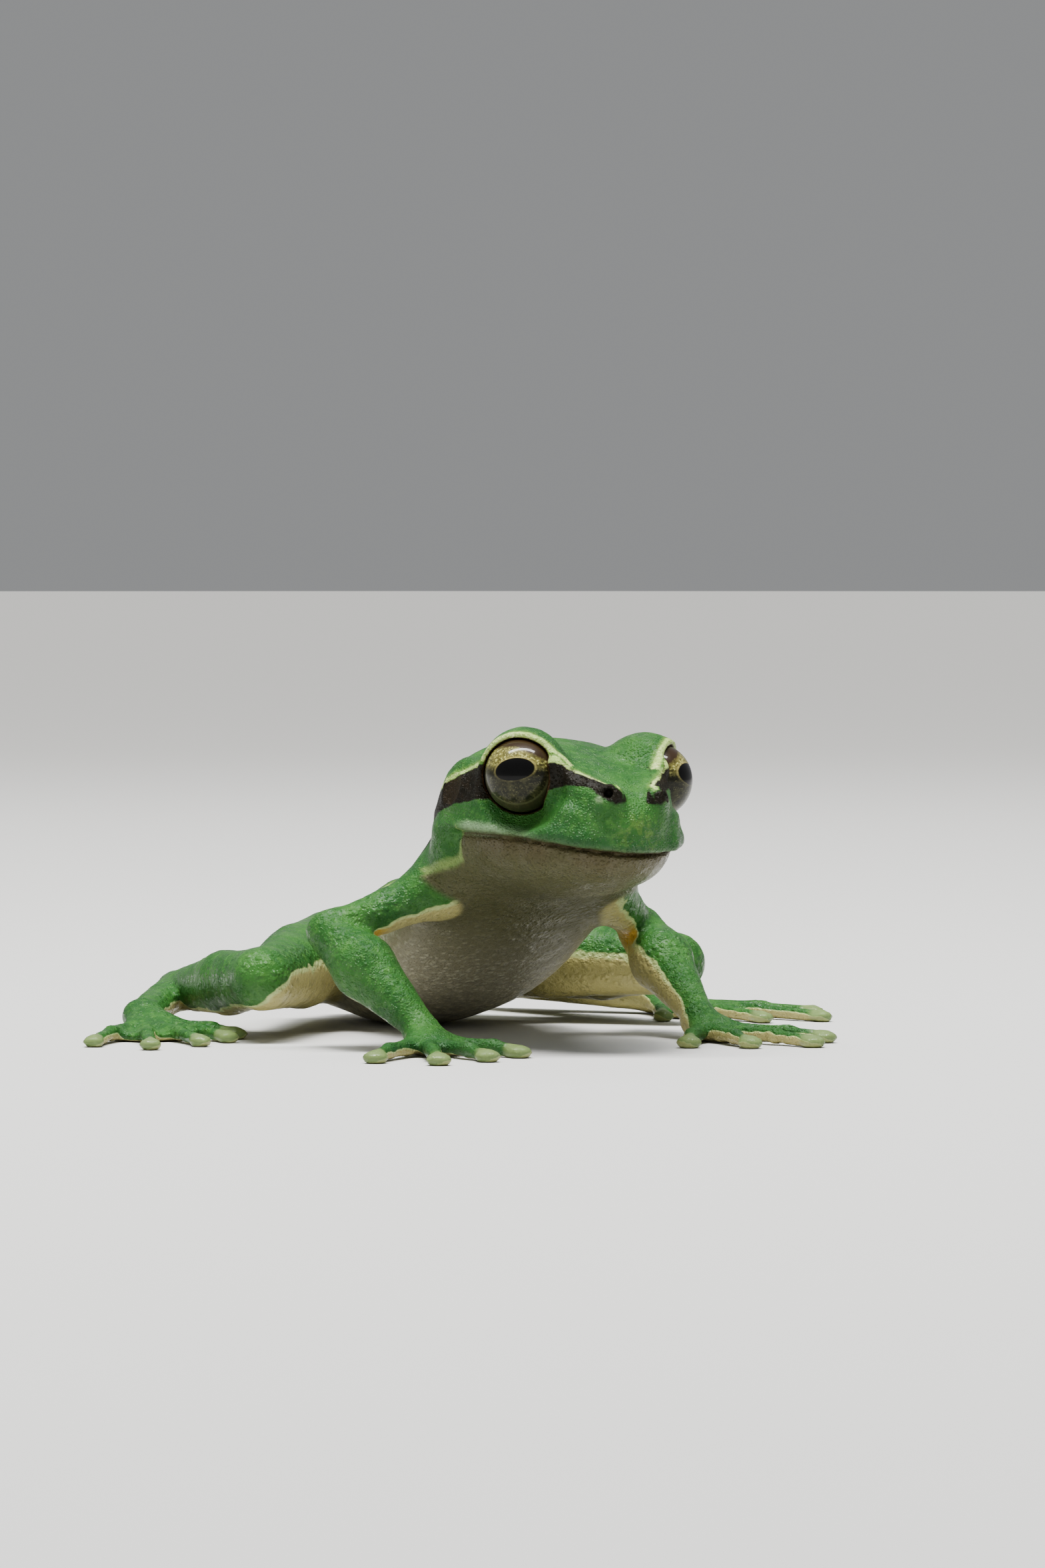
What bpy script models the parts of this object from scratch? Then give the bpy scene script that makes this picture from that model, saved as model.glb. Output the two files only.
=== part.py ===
"""A European tree frog, life size, sitting alert on a flat floor.

The body is one smooth form: a head and a trunk built from section formulas, and limbs
built from tapered tubes, all blended where they meet.  It is turned into one closed
mesh, thinned to plain facets, cut flat along the floor, and parted at the joints with
thin cuts, so that every named piece keeps the true outline.  The eyes are balls that
sit in cups in the head.

Work is done in millimetres and scaled to metres at the end.  The frog faces -Y and its
right side is -X.
"""
import math

import bmesh
import bpy
import numpy as np
from mathutils import Matrix, Vector

MM = 0.001                      # one millimetre in metres
GRID = 0.32                     # spacing of the sampling grid
VOXEL = 0.28                    # spacing of the rebuilt surface
FACETS = 4960                   # triangles of the body before it is parted
GAP = 0.3                       # space between neighbouring pieces
FAR = 50.0
CHIP = 16                       # smaller shells are chips left where two cuts cross

# ---- head, measured from the midpoint between the eyes, before it is tilted ----
EYE_HEIGHT = 16.0               # midpoint of the eyes above the floor
HEAD_PITCH = math.radians(6.5)  # nose down
HEAD_ROLL = math.radians(3.0)   # right side up
JAW_HALF = 7.2                  # half the width of the head at the jaw corners
JAW_BACK = 3.0                  # how far the widest place lies behind the eyes
HEAD_LONG = 9.7                 # from the widest place to the tip of the snout
LIP_LEVEL = -3.0                # height of the widest level
CROWN = 4.7                     # from that level up to the crown
THROAT = 4.7                    # and down to the throat
MOUTH_LEVEL = -3.7
EYE_SIDE = 4.5                  # eye centres either side of the middle
EYE_RADIUS = 2.2
LID_RADIUS = 2.6
EYE_TURN = math.radians(45.0)   # how far the eyes look out to the side
OPENING_DROP = math.radians(-8) # the lids open a little below level
OPENING_RADIUS = 3.3            # the ball that the opening between the lids is cut with
OPENING_DEPTH = -0.45            # how far ahead of the eye's middle that ball begins
NOSTRIL = (1.55, 5.1, -0.25)    # aside, ahead, up

# ---- trunk stations: back from the eyes, half width, top, widest level, belly, aside ----
TRUNK = (
    # back, half width, top, widest level, belly, aside
    (4.0, 6.5, 17.5, 11.6, 9.4, 0.0),
    (7.0, 7.4, 17.0, 10.6, 7.4, 0.1),
    (10.0, 6.9, 14.7, 8.5, 5.4, 0.2),
    (14.0, 6.8, 11.9, 6.4, 3.0, 0.8),
    (19.0, 7.2, 10.3, 5.1, 1.0, 1.6),
    (24.0, 6.5, 9.2, 4.5, -0.2, 1.9),
    (28.5, 5.0, 7.8, 3.8, -0.2, 2.0),
    (33.0, 4.0, 5.9, 3.3, 0.6, 2.0),
)
TRUNK_CAP = 29.0                # the rump rounds off behind here
TRUNK_CAP_LONG = 5.6

# ---- limbs: joints as (x, y, z) and radii ----
SHOULDER = {"R": (-5.7, 7.8, 9.3), "L": (5.4, 7.8, 9.3)}
ELBOW = {"R": (-12.4, 9.0, 6.8), "L": (10.6, 12.2, 6.2)}
WRIST = {"R": (-9.8, 2.4, 1.45), "L": (10.0, 4.2, 1.45)}
HAND_TURN = {"R": math.radians(10), "L": math.radians(6)}
HIP = {"R": (-1.6, 29.6, 4.1), "L": (5.6, 29.6, 4.1)}
KNEE = {"R": (-13.8, 15.2, 3.8), "L": (15.4, 16.4, 3.8)}
HEEL = {"R": (-10.6, 33.4, 2.0), "L": (12.4, 34.2, 2.0)}
BALL = {"R": (-17.2, 24.6, 1.15), "L": (19.2, 25.6, 1.15)}
FOOT_TURN = {"R": math.radians(12), "L": math.radians(14)}

FINGER_LEVEL = 0.48             # height of the middle of a digit lying on the floor
TIP_LEVEL = 0.34                # and of its end disc, which is pressed flat
FINGER_RADIUS = 0.55
DISC = (0.82, 0.82, 0.46)       # half sizes of a finger's end disc
TOE_DISC = (0.74, 0.74, 0.44)
PALM = 3.1                      # wrist to the roots of the fingers
SOLE = 3.2                      # ball of the foot to the roots of the toes
# each digit: angle outward from the limb's own line, length past its root
FINGERS = ((-48, 3.4), (-14, 4.3), (14, 5.9), (44, 4.7))
TOES = ((-44, 3.9), (-24, 5.6), (-5, 7.6), (13, 9.6), (33, 7.4))


def smooth_stations(stations, spread=1.6, step=0.25):
    """The stations as evenly spaced values, with their corners rounded off."""
    rows = np.array(stations)
    pad = 4.0 * spread
    line = np.arange(rows[0, 0] - pad, rows[-1, 0] + pad, step)
    weights = np.exp(-0.5 * (np.arange(-pad, pad + step, step) / spread) ** 2)
    weights /= weights.sum()
    columns = []
    for i in range(1, rows.shape[1]):
        plain = np.interp(line, rows[:, 0], rows[:, i])
        padded = np.pad(plain, len(weights) // 2, mode="edge")
        columns.append(np.convolve(padded, weights, mode="valid")[:len(line)])
    return line, columns


TRUNK_LINE, TRUNK_SMOOTH = smooth_stations(TRUNK)


def smooth_min(a, b, k):
    """The lower of two fields, rounded over a width k where they meet."""
    near = np.maximum(k - np.abs(a - b), 0.0)
    return np.minimum(a, b) - near * near / (4.0 * k)


def head_axes():
    """The head's own aside, ahead and up directions, after its tilt."""
    roll = Matrix.Rotation(HEAD_ROLL, 3, "Y")
    pitch = Matrix.Rotation(HEAD_PITCH, 3, "X")
    turn = pitch @ roll
    return [turn @ Vector(v) for v in ((1, 0, 0), (0, -1, 0), (0, 0, 1))]


def head_point(aside, ahead, up):
    """A place given in the head's own frame."""
    ax, fwd, upw = head_axes()
    return Vector((0, 0, EYE_HEIGHT)) + ax * aside + fwd * ahead + upw * up


def eye_direction(sign, lift):
    """A direction out of the eye on one side, raised by an angle."""
    ax, fwd, upw = head_axes()
    flat = ax * (sign * math.sin(EYE_TURN)) + fwd * math.cos(EYE_TURN)
    return (flat * math.cos(lift) + upw * math.sin(lift)).normalized()


class Field:
    """A sampled distance field that shapes are blended into, box by box."""

    def __init__(self, low, high, step):
        self.axes = [np.arange(low[i], high[i] + step, step) for i in range(3)]
        self.value = np.full([len(a) for a in self.axes], FAR)

    def window(self, low, high):
        cut, grids = [], []
        for axis, lo, hi in zip(self.axes, low, high):
            first = int(np.searchsorted(axis, lo))
            last = int(np.searchsorted(axis, hi))
            cut.append(slice(first, max(last, first + 1)))
            grids.append(axis[cut[-1]])
        return tuple(cut), np.meshgrid(*grids, indexing="ij")

    def blend(self, low, high, shape, k):
        cut, (x, y, z) = self.window(low, high)
        self.value[cut] = smooth_min(self.value[cut], shape(x, y, z), k)

    def carve(self, centre, radius, k):
        """Take a ball away, with the rim rounded."""
        c = np.array(centre, float)
        cut, (x, y, z) = self.window(c - radius - 1.5, c + radius + 1.5)
        ball = np.sqrt((x - c[0]) ** 2 + (y - c[1]) ** 2 + (z - c[2]) ** 2) - radius
        self.value[cut] = -smooth_min(-self.value[cut], ball, k)

    def tube(self, a, b, ra, rb, k, flat=1.0):
        """A tapered tube; flat under 1 squashes it vertically."""
        a, b = np.array(a, float), np.array(b, float)
        ab = b - a
        reach = max(ra, rb) + 2.0

        def shape(x, y, z):
            t = (x - a[0]) * ab[0] + (y - a[1]) * ab[1] + (z - a[2]) * ab[2]
            t = np.clip(t / float(ab @ ab), 0.0, 1.0)
            dx, dy, dz = (p - a[i] - t * ab[i] for i, p in enumerate((x, y, z)))
            return np.sqrt(dx * dx + dy * dy + (dz / flat) ** 2) - (ra + (rb - ra) * t)

        self.blend(np.minimum(a, b) - reach, np.maximum(a, b) + reach, shape, k)

    def ball(self, centre, radii, k, axes=None):
        """An ellipsoid, along the given axes if any."""
        c = np.array(centre, float)
        basis = np.array(axes if axes else ((1, 0, 0), (0, 1, 0), (0, 0, 1)), float)
        reach = max(radii) + 2.0

        def shape(x, y, z):
            local = [sum((p - c[i]) * row[i] for i, p in enumerate((x, y, z))) for row in basis]
            k0 = np.sqrt(sum((q / r) ** 2 for q, r in zip(local, radii)))
            k1 = np.sqrt(sum((q / (r * r)) ** 2 for q, r in zip(local, radii)))
            return k0 * (k0 - 1.0) / np.maximum(k1, 1e-6)

        self.blend(c - reach, c + reach, shape, k)


def head_shape(x, y, z):
    """The head as one formula: broad at the jaw, tapering to a rounded snout."""
    ax, fwd, upw = head_axes()
    dz = z - EYE_HEIGHT
    aside, ahead, up = (x * v.x + y * v.y + dz * v.z for v in (ax, fwd, upw))
    t = np.maximum(ahead + JAW_BACK, 0.0) / HEAD_LONG
    rise = up - LIP_LEVEL
    above = (np.maximum(rise, 0.0) / CROWN) ** 3.2
    below = (np.maximum(-rise, 0.0) / THROAT) ** 2.2
    back = (np.maximum(-ahead - 4.0, 0.0) / 3.0) ** 2
    level = (aside / JAW_HALF) ** 2 + t ** 1.25 + above + below + back
    return (np.sqrt(level) - 1.0) * 4.0


def trunk_shape(x, y, z):
    """The trunk as sections along its length, with a rounded rump."""
    half, top, wide, belly, shift = (np.interp(y, TRUNK_LINE, column) for column in TRUNK_SMOOTH)
    up = np.maximum(z - wide, 0.0) / (top - wide)
    down = np.maximum(wide - z, 0.0) / (wide - belly)
    ends = (np.maximum(y - TRUNK_CAP, 0.0) / TRUNK_CAP_LONG) ** 2
    front = (np.maximum(6.0 - y, 0.0) / 3.0) ** 2
    level = ((x - shift) / half) ** 2 + up ** 1.8 + down ** 2.3 + ends + front
    return (np.sqrt(level) - 1.0) * 4.5


def place(root, angle, out, length, level):
    """A point on the floor, at an angle outward from straight ahead."""
    return (root[0] + out * math.sin(angle) * length, root[1] - math.cos(angle) * length, level)


def hand_digits(side):
    """Root, knuckle and tip of each finger."""
    out = -1.0 if side == "R" else 1.0
    return fan(WRIST[side], HAND_TURN[side], out, PALM, FINGERS, 0.5)


def foot_digits(side):
    out = -1.0 if side == "R" else 1.0
    return fan(BALL[side], FOOT_TURN[side], out, SOLE, TOES, 0.35)


def fan(start, turn, out, palm, digits, bend):
    found = []
    for degrees, length in digits:
        spread = math.radians(degrees)
        root = place(start, turn + spread * 0.8, out, palm, FINGER_LEVEL + 0.12)
        knuckle = place(root, turn + spread, out, length * 0.5, FINGER_LEVEL + 0.10)
        tip = place(knuckle, turn + spread * (1 - bend * 0.3), out, length * 0.5, TIP_LEVEL)
        found.append((root, knuckle, tip))
    return found


def mix(a, b, t):
    """The point a given share of the way from one to the other."""
    return Vector([p + (q - p) * t for p, q in zip(a, b)])


def add_arm(field, side):
    shoulder, elbow, wrist = SHOULDER[side], ELBOW[side], WRIST[side]
    field.tube(shoulder, mix(shoulder, elbow, 0.5), 1.75, 1.25, 1.4)
    field.tube(mix(shoulder, elbow, 0.5), elbow, 1.25, 1.3, 0.5)
    belly = mix(elbow, wrist, 0.36)
    field.tube(elbow, belly, 1.4, 1.9, 0.5)
    field.tube(belly, wrist, 1.9, 0.95, 0.5)
    field.tube(wrist, place(wrist, HAND_TURN[side], -1 if side == "R" else 1, 1.6, 0.75),
               1.0, 1.05, 0.6, 0.8)
    for root, knuckle, tip in hand_digits(side):
        field.tube((wrist[0], wrist[1], 1.0), root, 0.85, FINGER_RADIUS + 0.08, 0.5, 0.9)
        add_digit(field, root, knuckle, tip, DISC)


def add_digit(field, root, knuckle, tip, disc):
    field.tube(root, knuckle, FINGER_RADIUS + 0.06, FINGER_RADIUS, 0.2)
    field.tube(knuckle, tip, FINGER_RADIUS, FINGER_RADIUS * 0.92, 0.2)
    field.ball(tip, disc, 0.25)


def add_leg(field, side):
    hip, knee, heel, ball = HIP[side], KNEE[side], HEEL[side], BALL[side]
    field.tube(hip, mix(hip, knee, 0.5), 2.9, 2.5, 1.2)
    field.tube(mix(hip, knee, 0.5), knee, 2.5, 1.95, 0.5)
    calf = mix(knee, heel, 0.38)
    field.tube(knee, calf, 1.75, 1.95, 0.4)
    field.tube(calf, heel, 1.95, 1.25, 0.4)
    field.tube(heel, ball, 1.3, 1.15, 0.3, 0.9)
    digits = foot_digits(side)
    for root, knuckle, tip in digits:
        field.tube(ball, root, 1.0, FINGER_RADIUS + 0.1, 0.5, 0.85)
        add_digit(field, root, knuckle, tip, TOE_DISC)
    for (root, knuckle, _), (root2, knuckle2, _) in zip(digits, digits[1:]):
        add_web(field, root, knuckle, root2, knuckle2)


def add_web(field, root, knuckle, root2, knuckle2):
    """The membrane between two toes, as thin tubes side by side."""
    for step in np.linspace(0.0, 0.75, 6):
        a, b = mix(root, knuckle, step), mix(root2, knuckle2, step)
        a, b = (a[0], a[1], 0.34), (b[0], b[1], 0.34)
        field.tube(a, b, 0.5, 0.5, 0.15, 0.62)


def sample_frog():
    field = Field((-28, -9, -1.4), (30, 38, 20.5), GRID)
    field.blend((-9, -9, 6), (9, 9, 20.4), head_shape, 1.0)
    field.blend((-11, 1, -1.4), (12, 37, 20.4), trunk_shape, 2.2)
    ax, fwd, upw = head_axes()
    for sign in (-1.0, 1.0):
        field.ball(head_point(sign * (EYE_SIDE - 0.1), -0.1, 0.0), [LID_RADIUS] * 3, 0.8)
        field.ball(head_point(sign * 3.95, -0.7, 0.3), (2.3, 2.7, 2.4), 0.7, head_axes())
        field.tube(head_point(sign * 3.2, 2.0, 0.35),
                   head_point(sign * NOSTRIL[0], NOSTRIL[1], NOSTRIL[2] - 0.5), 0.9, 0.75, 0.8)
        out = eye_direction(sign, OPENING_DROP) * (OPENING_DEPTH + OPENING_RADIUS)
        field.carve(head_point(sign * EYE_SIDE, 0, 0) + out, OPENING_RADIUS, 0.3)
    for side in "RL":
        add_arm(field, side)
        add_leg(field, side)
    return field


def surface(field):
    """One closed mesh on the zero level: a point in each mixed cell, a quad per crossing."""
    value, axes = field.value, field.axes
    inside = value < 0.0
    count = sum(inside[i:inside.shape[0] - 1 + i, j:inside.shape[1] - 1 + j,
                       k:inside.shape[2] - 1 + k].astype(np.int8)
                for i in (0, 1) for j in (0, 1) for k in (0, 1))
    cells = np.argwhere((count > 0) & (count < 8))
    index = np.full(count.shape, -1, dtype=np.int64)
    index[tuple(cells.T)] = np.arange(len(cells))
    total, hits = np.zeros((len(cells), 3)), np.zeros(len(cells))
    for axis in range(3):
        others = [a for a in range(3) if a != axis]
        for i in (0, 1):
            for j in (0, 1):
                start = cells.copy()
                start[:, others[0]] += i
                start[:, others[1]] += j
                end = start.copy()
                end[:, axis] += 1
                v0, v1 = value[tuple(start.T)], value[tuple(end.T)]
                cross = (v0 < 0) != (v1 < 0)
                t = np.where(cross, v0 / np.where(cross, v0 - v1, 1.0), 0.0)
                p0 = np.stack([axes[a][start[:, a]] for a in range(3)], axis=1)
                p1 = np.stack([axes[a][end[:, a]] for a in range(3)], axis=1)
                total += (p0 + (p1 - p0) * t[:, None]) * cross[:, None]
                hits += cross
    faces = []
    for axis in range(3):
        b, c = (axis + 1) % 3, (axis + 2) % 3
        lower = [slice(None)] * 3
        upper = [slice(None)] * 3
        lower[axis], upper[axis] = slice(0, -1), slice(1, None)
        first, second = inside[tuple(lower)], inside[tuple(upper)]
        for want in (True, False):
            spots = np.argwhere((first == want) & (second != want))
            ring = []
            for db, dc in ((0, 0), (-1, 0), (-1, -1), (0, -1)):
                q = spots.copy()
                q[:, b] += db
                q[:, c] += dc
                ring.append(index[tuple(q.T)])
            quad = np.stack(ring if want else ring[::-1], axis=1)
            faces.append(quad)
    return total / hits[:, None], np.concatenate(faces)


def mesh_object(name, points, faces):
    mesh = bpy.data.meshes.new(name)
    mesh.from_pydata([tuple(p) for p in points.tolist()], [], faces.tolist())
    obj = bpy.data.objects.new(name, mesh)
    bpy.context.scene.collection.objects.link(obj)
    return obj


def from_bmesh(name, bm):
    mesh = bpy.data.meshes.new(name)
    bm.to_mesh(mesh)
    bm.free()
    obj = bpy.data.objects.new(name, mesh)
    bpy.context.scene.collection.objects.link(obj)
    return obj


def apply(obj, modifier):
    """Apply one modifier by way of the evaluated mesh."""
    graph = bpy.context.evaluated_depsgraph_get()
    fresh = bpy.data.meshes.new_from_object(obj.evaluated_get(graph))
    obj.modifiers.remove(modifier)
    old = obj.data
    obj.data = fresh
    bpy.data.meshes.remove(old)


def even_out(obj):
    """Rebuild the surface on small voxels, which leaves no pinched edges."""
    even = obj.modifiers.new("even", "REMESH")
    even.mode = "VOXEL"
    even.voxel_size = VOXEL
    apply(obj, even)


def thin_to_facets(obj):
    thin = obj.modifiers.new("thin", "DECIMATE")
    thin.ratio = FACETS / (2.0 * len(obj.data.polygons))
    thin.use_collapse_triangulate = True
    apply(obj, thin)


def add_slab(bm, centre, normal, along, half_along, half_across):
    """A thin slab across a joint: its normal, and how far it reaches each way."""
    n = Vector(normal).normalized()
    across = n.cross(Vector(along)).normalized()
    along = across.cross(n)
    turn = Matrix((along, across, n)).transposed().to_4x4()
    size = Matrix.Diagonal((2 * half_along, 2 * half_across, GAP, 1.0))
    bmesh.ops.create_cube(bm, size=1.0, matrix=Matrix.Translation(Vector(centre)) @ turn @ size)


def add_hinge(bm, before, joint, after, half_along, half_across, inward):
    """A slab through a bent joint, along the crease between the two parts."""
    one = (Vector(before) - Vector(joint)).normalized()
    two = (Vector(after) - Vector(joint)).normalized()
    crease = (one + two).normalized()
    add_slab(bm, Vector(joint) + crease * inward, one - two, crease, half_along, half_across)


def add_digit_cuts(bm, digits, share, reach, beyond=0.0):
    """One slab across each finger or toe, a given share of the way to its knuckle."""
    for root, knuckle, _ in digits:
        line = Vector(knuckle) - Vector(root)
        centre = Vector(root) + line * share + line.normalized() * beyond
        add_slab(bm, centre, line, (0, 0, 1), 1.4, reach)


def joint_slabs():
    """Every thin slab that parts the body, in one mesh."""
    bm = bmesh.new()
    ax, fwd, upw = head_axes()
    add_slab(bm, head_point(0, -5.0, 0.2), fwd + upw * 0.12, upw, 9.5, 10.5)
    add_slab(bm, head_point(0, 1.7, MOUTH_LEVEL), upw, fwd, 6.5, 9.0)
    for side in "RL":
        shoulder, elbow, wrist = (Vector(p[side]) for p in (SHOULDER, ELBOW, WRIST))
        arm = elbow - shoulder
        share = 0.4 if side == "R" else 0.63
        add_slab(bm, shoulder + arm * share, arm, (0, 0, 1), 2.8, 2.8)
        add_hinge(bm, shoulder, elbow, wrist, 2.8, 2.6, 0.3)
        add_slab(bm, mix(wrist, elbow, 0.05), wrist - elbow, (0, 0, 1), 1.9, 2.0)
        add_digit_cuts(bm, hand_digits(side), 0.4, 0.85)
        hip, knee, heel, ball = (Vector(p[side]) for p in (HIP, KNEE, HEEL, BALL))
        out = Vector((-1.0 if side == "R" else 1.0, 0, 0))
        thigh = (knee - hip).normalized()
        add_slab(bm, mix(hip, knee, 0.56), thigh + out * 0.3, (0, 0, 1), 4.0, 3.7)
        add_hinge(bm, hip, knee, heel, 6.6, 3.4, 3.7)
        add_hinge(bm, knee, heel, ball, 5.6, 2.3, 3.4)
        add_slab(bm, mix(ball, heel, 0.1), ball - heel, (0, 0, 1), 1.8, 2.0)
        add_digit_cuts(bm, foot_digits(side), 1.0, 0.85, 0.35)
    return bm


def subtract(obj, bm):
    """Cut a mesh away from the object and throw the cutter out."""
    cutter = from_bmesh("cutter", bm)
    cutter.hide_render = True
    cutter.display_type = "WIRE"
    cut = obj.modifiers.new("cut", "BOOLEAN")
    cut.operation = "DIFFERENCE"
    cut.solver = "EXACT"
    cut.use_self = True
    cut.object = cutter
    apply(obj, cut)
    bpy.data.objects.remove(cutter, do_unlink=True)


def floor_block():
    bm = bmesh.new()
    bmesh.ops.create_cube(bm, size=1.0, matrix=Matrix.Translation((0, 15, -5))
                          @ Matrix.Diagonal((90, 90, 10, 1)))
    return bm


def eye_cup(sign):
    bm = bmesh.new()
    bmesh.ops.create_icosphere(bm, subdivisions=3, radius=EYE_RADIUS + GAP,
                               matrix=Matrix.Translation(head_point(sign * EYE_SIDE, 0, 0)))
    return bm


def part_places():
    """A point inside each piece, by the piece's name."""
    found = {"head": head_point(0, 1.0, 0.0), "lower_jaw": head_point(0, 1.0, -5.0),
             "trunk": Vector((0.5, 18.0, 7.0))}
    for side in "RL":
        shoulder, elbow, wrist = (Vector(p[side]) for p in (SHOULDER, ELBOW, WRIST))
        found["upper_arm_" + side] = mix(shoulder, elbow, 0.8)
        found["forearm_" + side] = mix(elbow, wrist, 0.55)
        out = -1.0 if side == "R" else 1.0
        found["hand_" + side] = place(wrist, HAND_TURN[side], out, 1.6, 0.8)
        for number, (root, knuckle, tip) in enumerate(hand_digits(side), 1):
            found["finger_%s%d" % (side, number)] = mix(knuckle, tip, 0.3)
        hip, knee, heel, ball = (Vector(p[side]) for p in (HIP, KNEE, HEEL, BALL))
        found["thigh_" + side] = mix(hip, knee, 0.75)
        found["shank_" + side] = mix(knee, heel, 0.6)
        found["tarsus_" + side] = mix(heel, ball, 0.6)
        found["foot_" + side] = place(ball, FOOT_TURN[side], out, 1.5, 0.8)
        for number, (root, knuckle, tip) in enumerate(foot_digits(side), 1):
            found["toe_%s%d" % (side, number)] = mix(knuckle, tip, 0.4)
    return {name: Vector(point) for name, point in found.items()}


def loose_pieces(obj):
    """The separate closed shells of a mesh, each as lists of points and faces."""
    bm = bmesh.new()
    bm.from_mesh(obj.data)
    bm.verts.ensure_lookup_table()
    seen, shells = set(), []
    for start in bm.verts:
        if start.index in seen:
            continue
        stack, shell = [start], []
        seen.add(start.index)
        while stack:
            vert = stack.pop()
            shell.append(vert)
            for edge in vert.link_edges:
                other = edge.other_vert(vert)
                if other.index not in seen:
                    seen.add(other.index)
                    stack.append(other)
        number = {vert.index: i for i, vert in enumerate(shell)}
        faces = {face for vert in shell for face in vert.link_faces}
        faces = sorted(faces, key=lambda face: face.index)
        shells.append(([vert.co.copy() for vert in shell],
                       [[number[v.index] for v in face.verts] for face in faces]))
    bm.free()
    return shells


def material(name, colour, roughness):
    made = bpy.data.materials.new(name)
    made.use_nodes = True
    shader = made.node_tree.nodes["Principled BSDF"]
    shader.inputs["Base Color"].default_value = (*colour, 1.0)
    shader.inputs["Roughness"].default_value = roughness
    shader.inputs["Metallic"].default_value = 0.0
    return made


def finish(name, points, faces, shift, made):
    """A named piece in metres, with its origin at its own middle."""
    points = [(Vector(p) + shift) * MM for p in points]
    low = Vector(min(p[i] for p in points) for i in range(3))
    high = Vector(max(p[i] for p in points) for i in range(3))
    middle = (low + high) / 2
    mesh = bpy.data.meshes.new(name)
    mesh.from_pydata([p - middle for p in points], [], faces)
    mesh.materials.append(made)
    obj = bpy.data.objects.new(name, mesh)
    obj.location = middle
    bpy.context.scene.collection.objects.link(obj)
    return obj


def eye_ball(sign):
    bm = bmesh.new()
    bmesh.ops.create_icosphere(bm, subdivisions=3, radius=EYE_RADIUS,
                               matrix=Matrix.Translation(head_point(sign * EYE_SIDE, 0, 0)))
    points = [v.co.copy() for v in bm.verts]
    faces = [[v.index for v in f.verts] for f in bm.faces]
    bm.free()
    return points, faces


def main():
    for obj in list(bpy.data.objects):
        bpy.data.objects.remove(obj, do_unlink=True)
    points, faces = surface(sample_frog())
    body = mesh_object("body", points, faces)
    even_out(body)
    thin_to_facets(body)
    subtract(body, floor_block())
    for sign in (-1.0, 1.0):
        subtract(body, eye_cup(sign))
    subtract(body, joint_slabs())
    shells = [shell for shell in loose_pieces(body) if len(shell[0]) > CHIP]
    bpy.data.objects.remove(body, do_unlink=True)

    pieces = {}
    for name, spot in part_places().items():
        nearest = min(range(len(shells)), key=lambda i: min((p - spot).length for p in shells[i][0]))
        if nearest in pieces.values():
            raise SystemExit(name + " is not parted from its neighbour")
        pieces[name] = nearest
    if len(pieces) != len(shells):
        stray = [shells[i][0] for i in range(len(shells)) if i not in pieces.values()]
        raise SystemExit("unnamed: %s" % [(len(p), p[0].to_tuple(1)) for p in stray])
    pieces = {name: shells[i] for name, i in pieces.items()}
    pieces["eye_R"], pieces["eye_L"] = eye_ball(-1.0), eye_ball(1.0)

    every = [p for points, _ in pieces.values() for p in points]
    low = [min(p[i] for p in every) for i in range(3)]
    high = [max(p[i] for p in every) for i in range(3)]
    shift = Vector((-(low[0] + high[0]) / 2, -(low[1] + high[1]) / 2, -low[2]))
    skin = material("leaf_green_skin", (0.085, 0.21, 0.035), 0.38)
    throat = material("pale_throat_skin", (0.30, 0.27, 0.17), 0.45)
    eye = material("gold_brown_eye", (0.10, 0.085, 0.035), 0.08)
    looks = {"lower_jaw": throat, "eye_R": eye, "eye_L": eye}
    for name, (points, faces) in pieces.items():
        finish(name, points, faces, shift, looks.get(name, skin))
    bpy.context.view_layer.update()


main()
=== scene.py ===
"""The looks of the tree frog: one skin over every flesh piece, two eyes, light and camera.

The skin is the same smooth form the CAD pieces were cut from, sampled more finely, with
the lids, nostrils, mouth, ear disc, folds and pads worked into it.  It keeps to the
outline of the CAD pieces.  Shapes are worked out in millimetres in the frog's own frame
(it faces -Y, its right side is -X) and moved to the frame's metres at the end.
"""
import math

import bpy
import numpy as np
from mathutils import Matrix, Vector, noise


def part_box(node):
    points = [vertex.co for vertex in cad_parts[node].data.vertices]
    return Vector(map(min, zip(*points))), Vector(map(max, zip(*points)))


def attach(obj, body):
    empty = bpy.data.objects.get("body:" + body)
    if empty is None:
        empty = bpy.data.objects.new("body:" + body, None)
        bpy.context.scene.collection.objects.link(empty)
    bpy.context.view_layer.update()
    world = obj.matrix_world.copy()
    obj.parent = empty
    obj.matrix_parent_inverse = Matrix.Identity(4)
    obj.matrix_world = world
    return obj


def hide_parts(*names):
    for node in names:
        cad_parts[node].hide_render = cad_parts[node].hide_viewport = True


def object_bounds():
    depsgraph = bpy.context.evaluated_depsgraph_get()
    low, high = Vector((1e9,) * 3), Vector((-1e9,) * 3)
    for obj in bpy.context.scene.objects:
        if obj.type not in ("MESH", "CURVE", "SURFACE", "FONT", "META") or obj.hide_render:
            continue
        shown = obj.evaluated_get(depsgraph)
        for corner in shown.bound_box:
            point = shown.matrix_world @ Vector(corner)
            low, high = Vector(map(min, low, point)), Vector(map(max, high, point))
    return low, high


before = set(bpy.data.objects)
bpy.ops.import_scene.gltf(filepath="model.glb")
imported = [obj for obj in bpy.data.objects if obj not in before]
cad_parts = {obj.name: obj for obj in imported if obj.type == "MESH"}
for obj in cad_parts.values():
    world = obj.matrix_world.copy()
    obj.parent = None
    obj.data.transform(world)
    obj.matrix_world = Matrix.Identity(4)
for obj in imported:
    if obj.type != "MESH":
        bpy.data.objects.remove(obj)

CAD_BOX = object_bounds()

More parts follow.
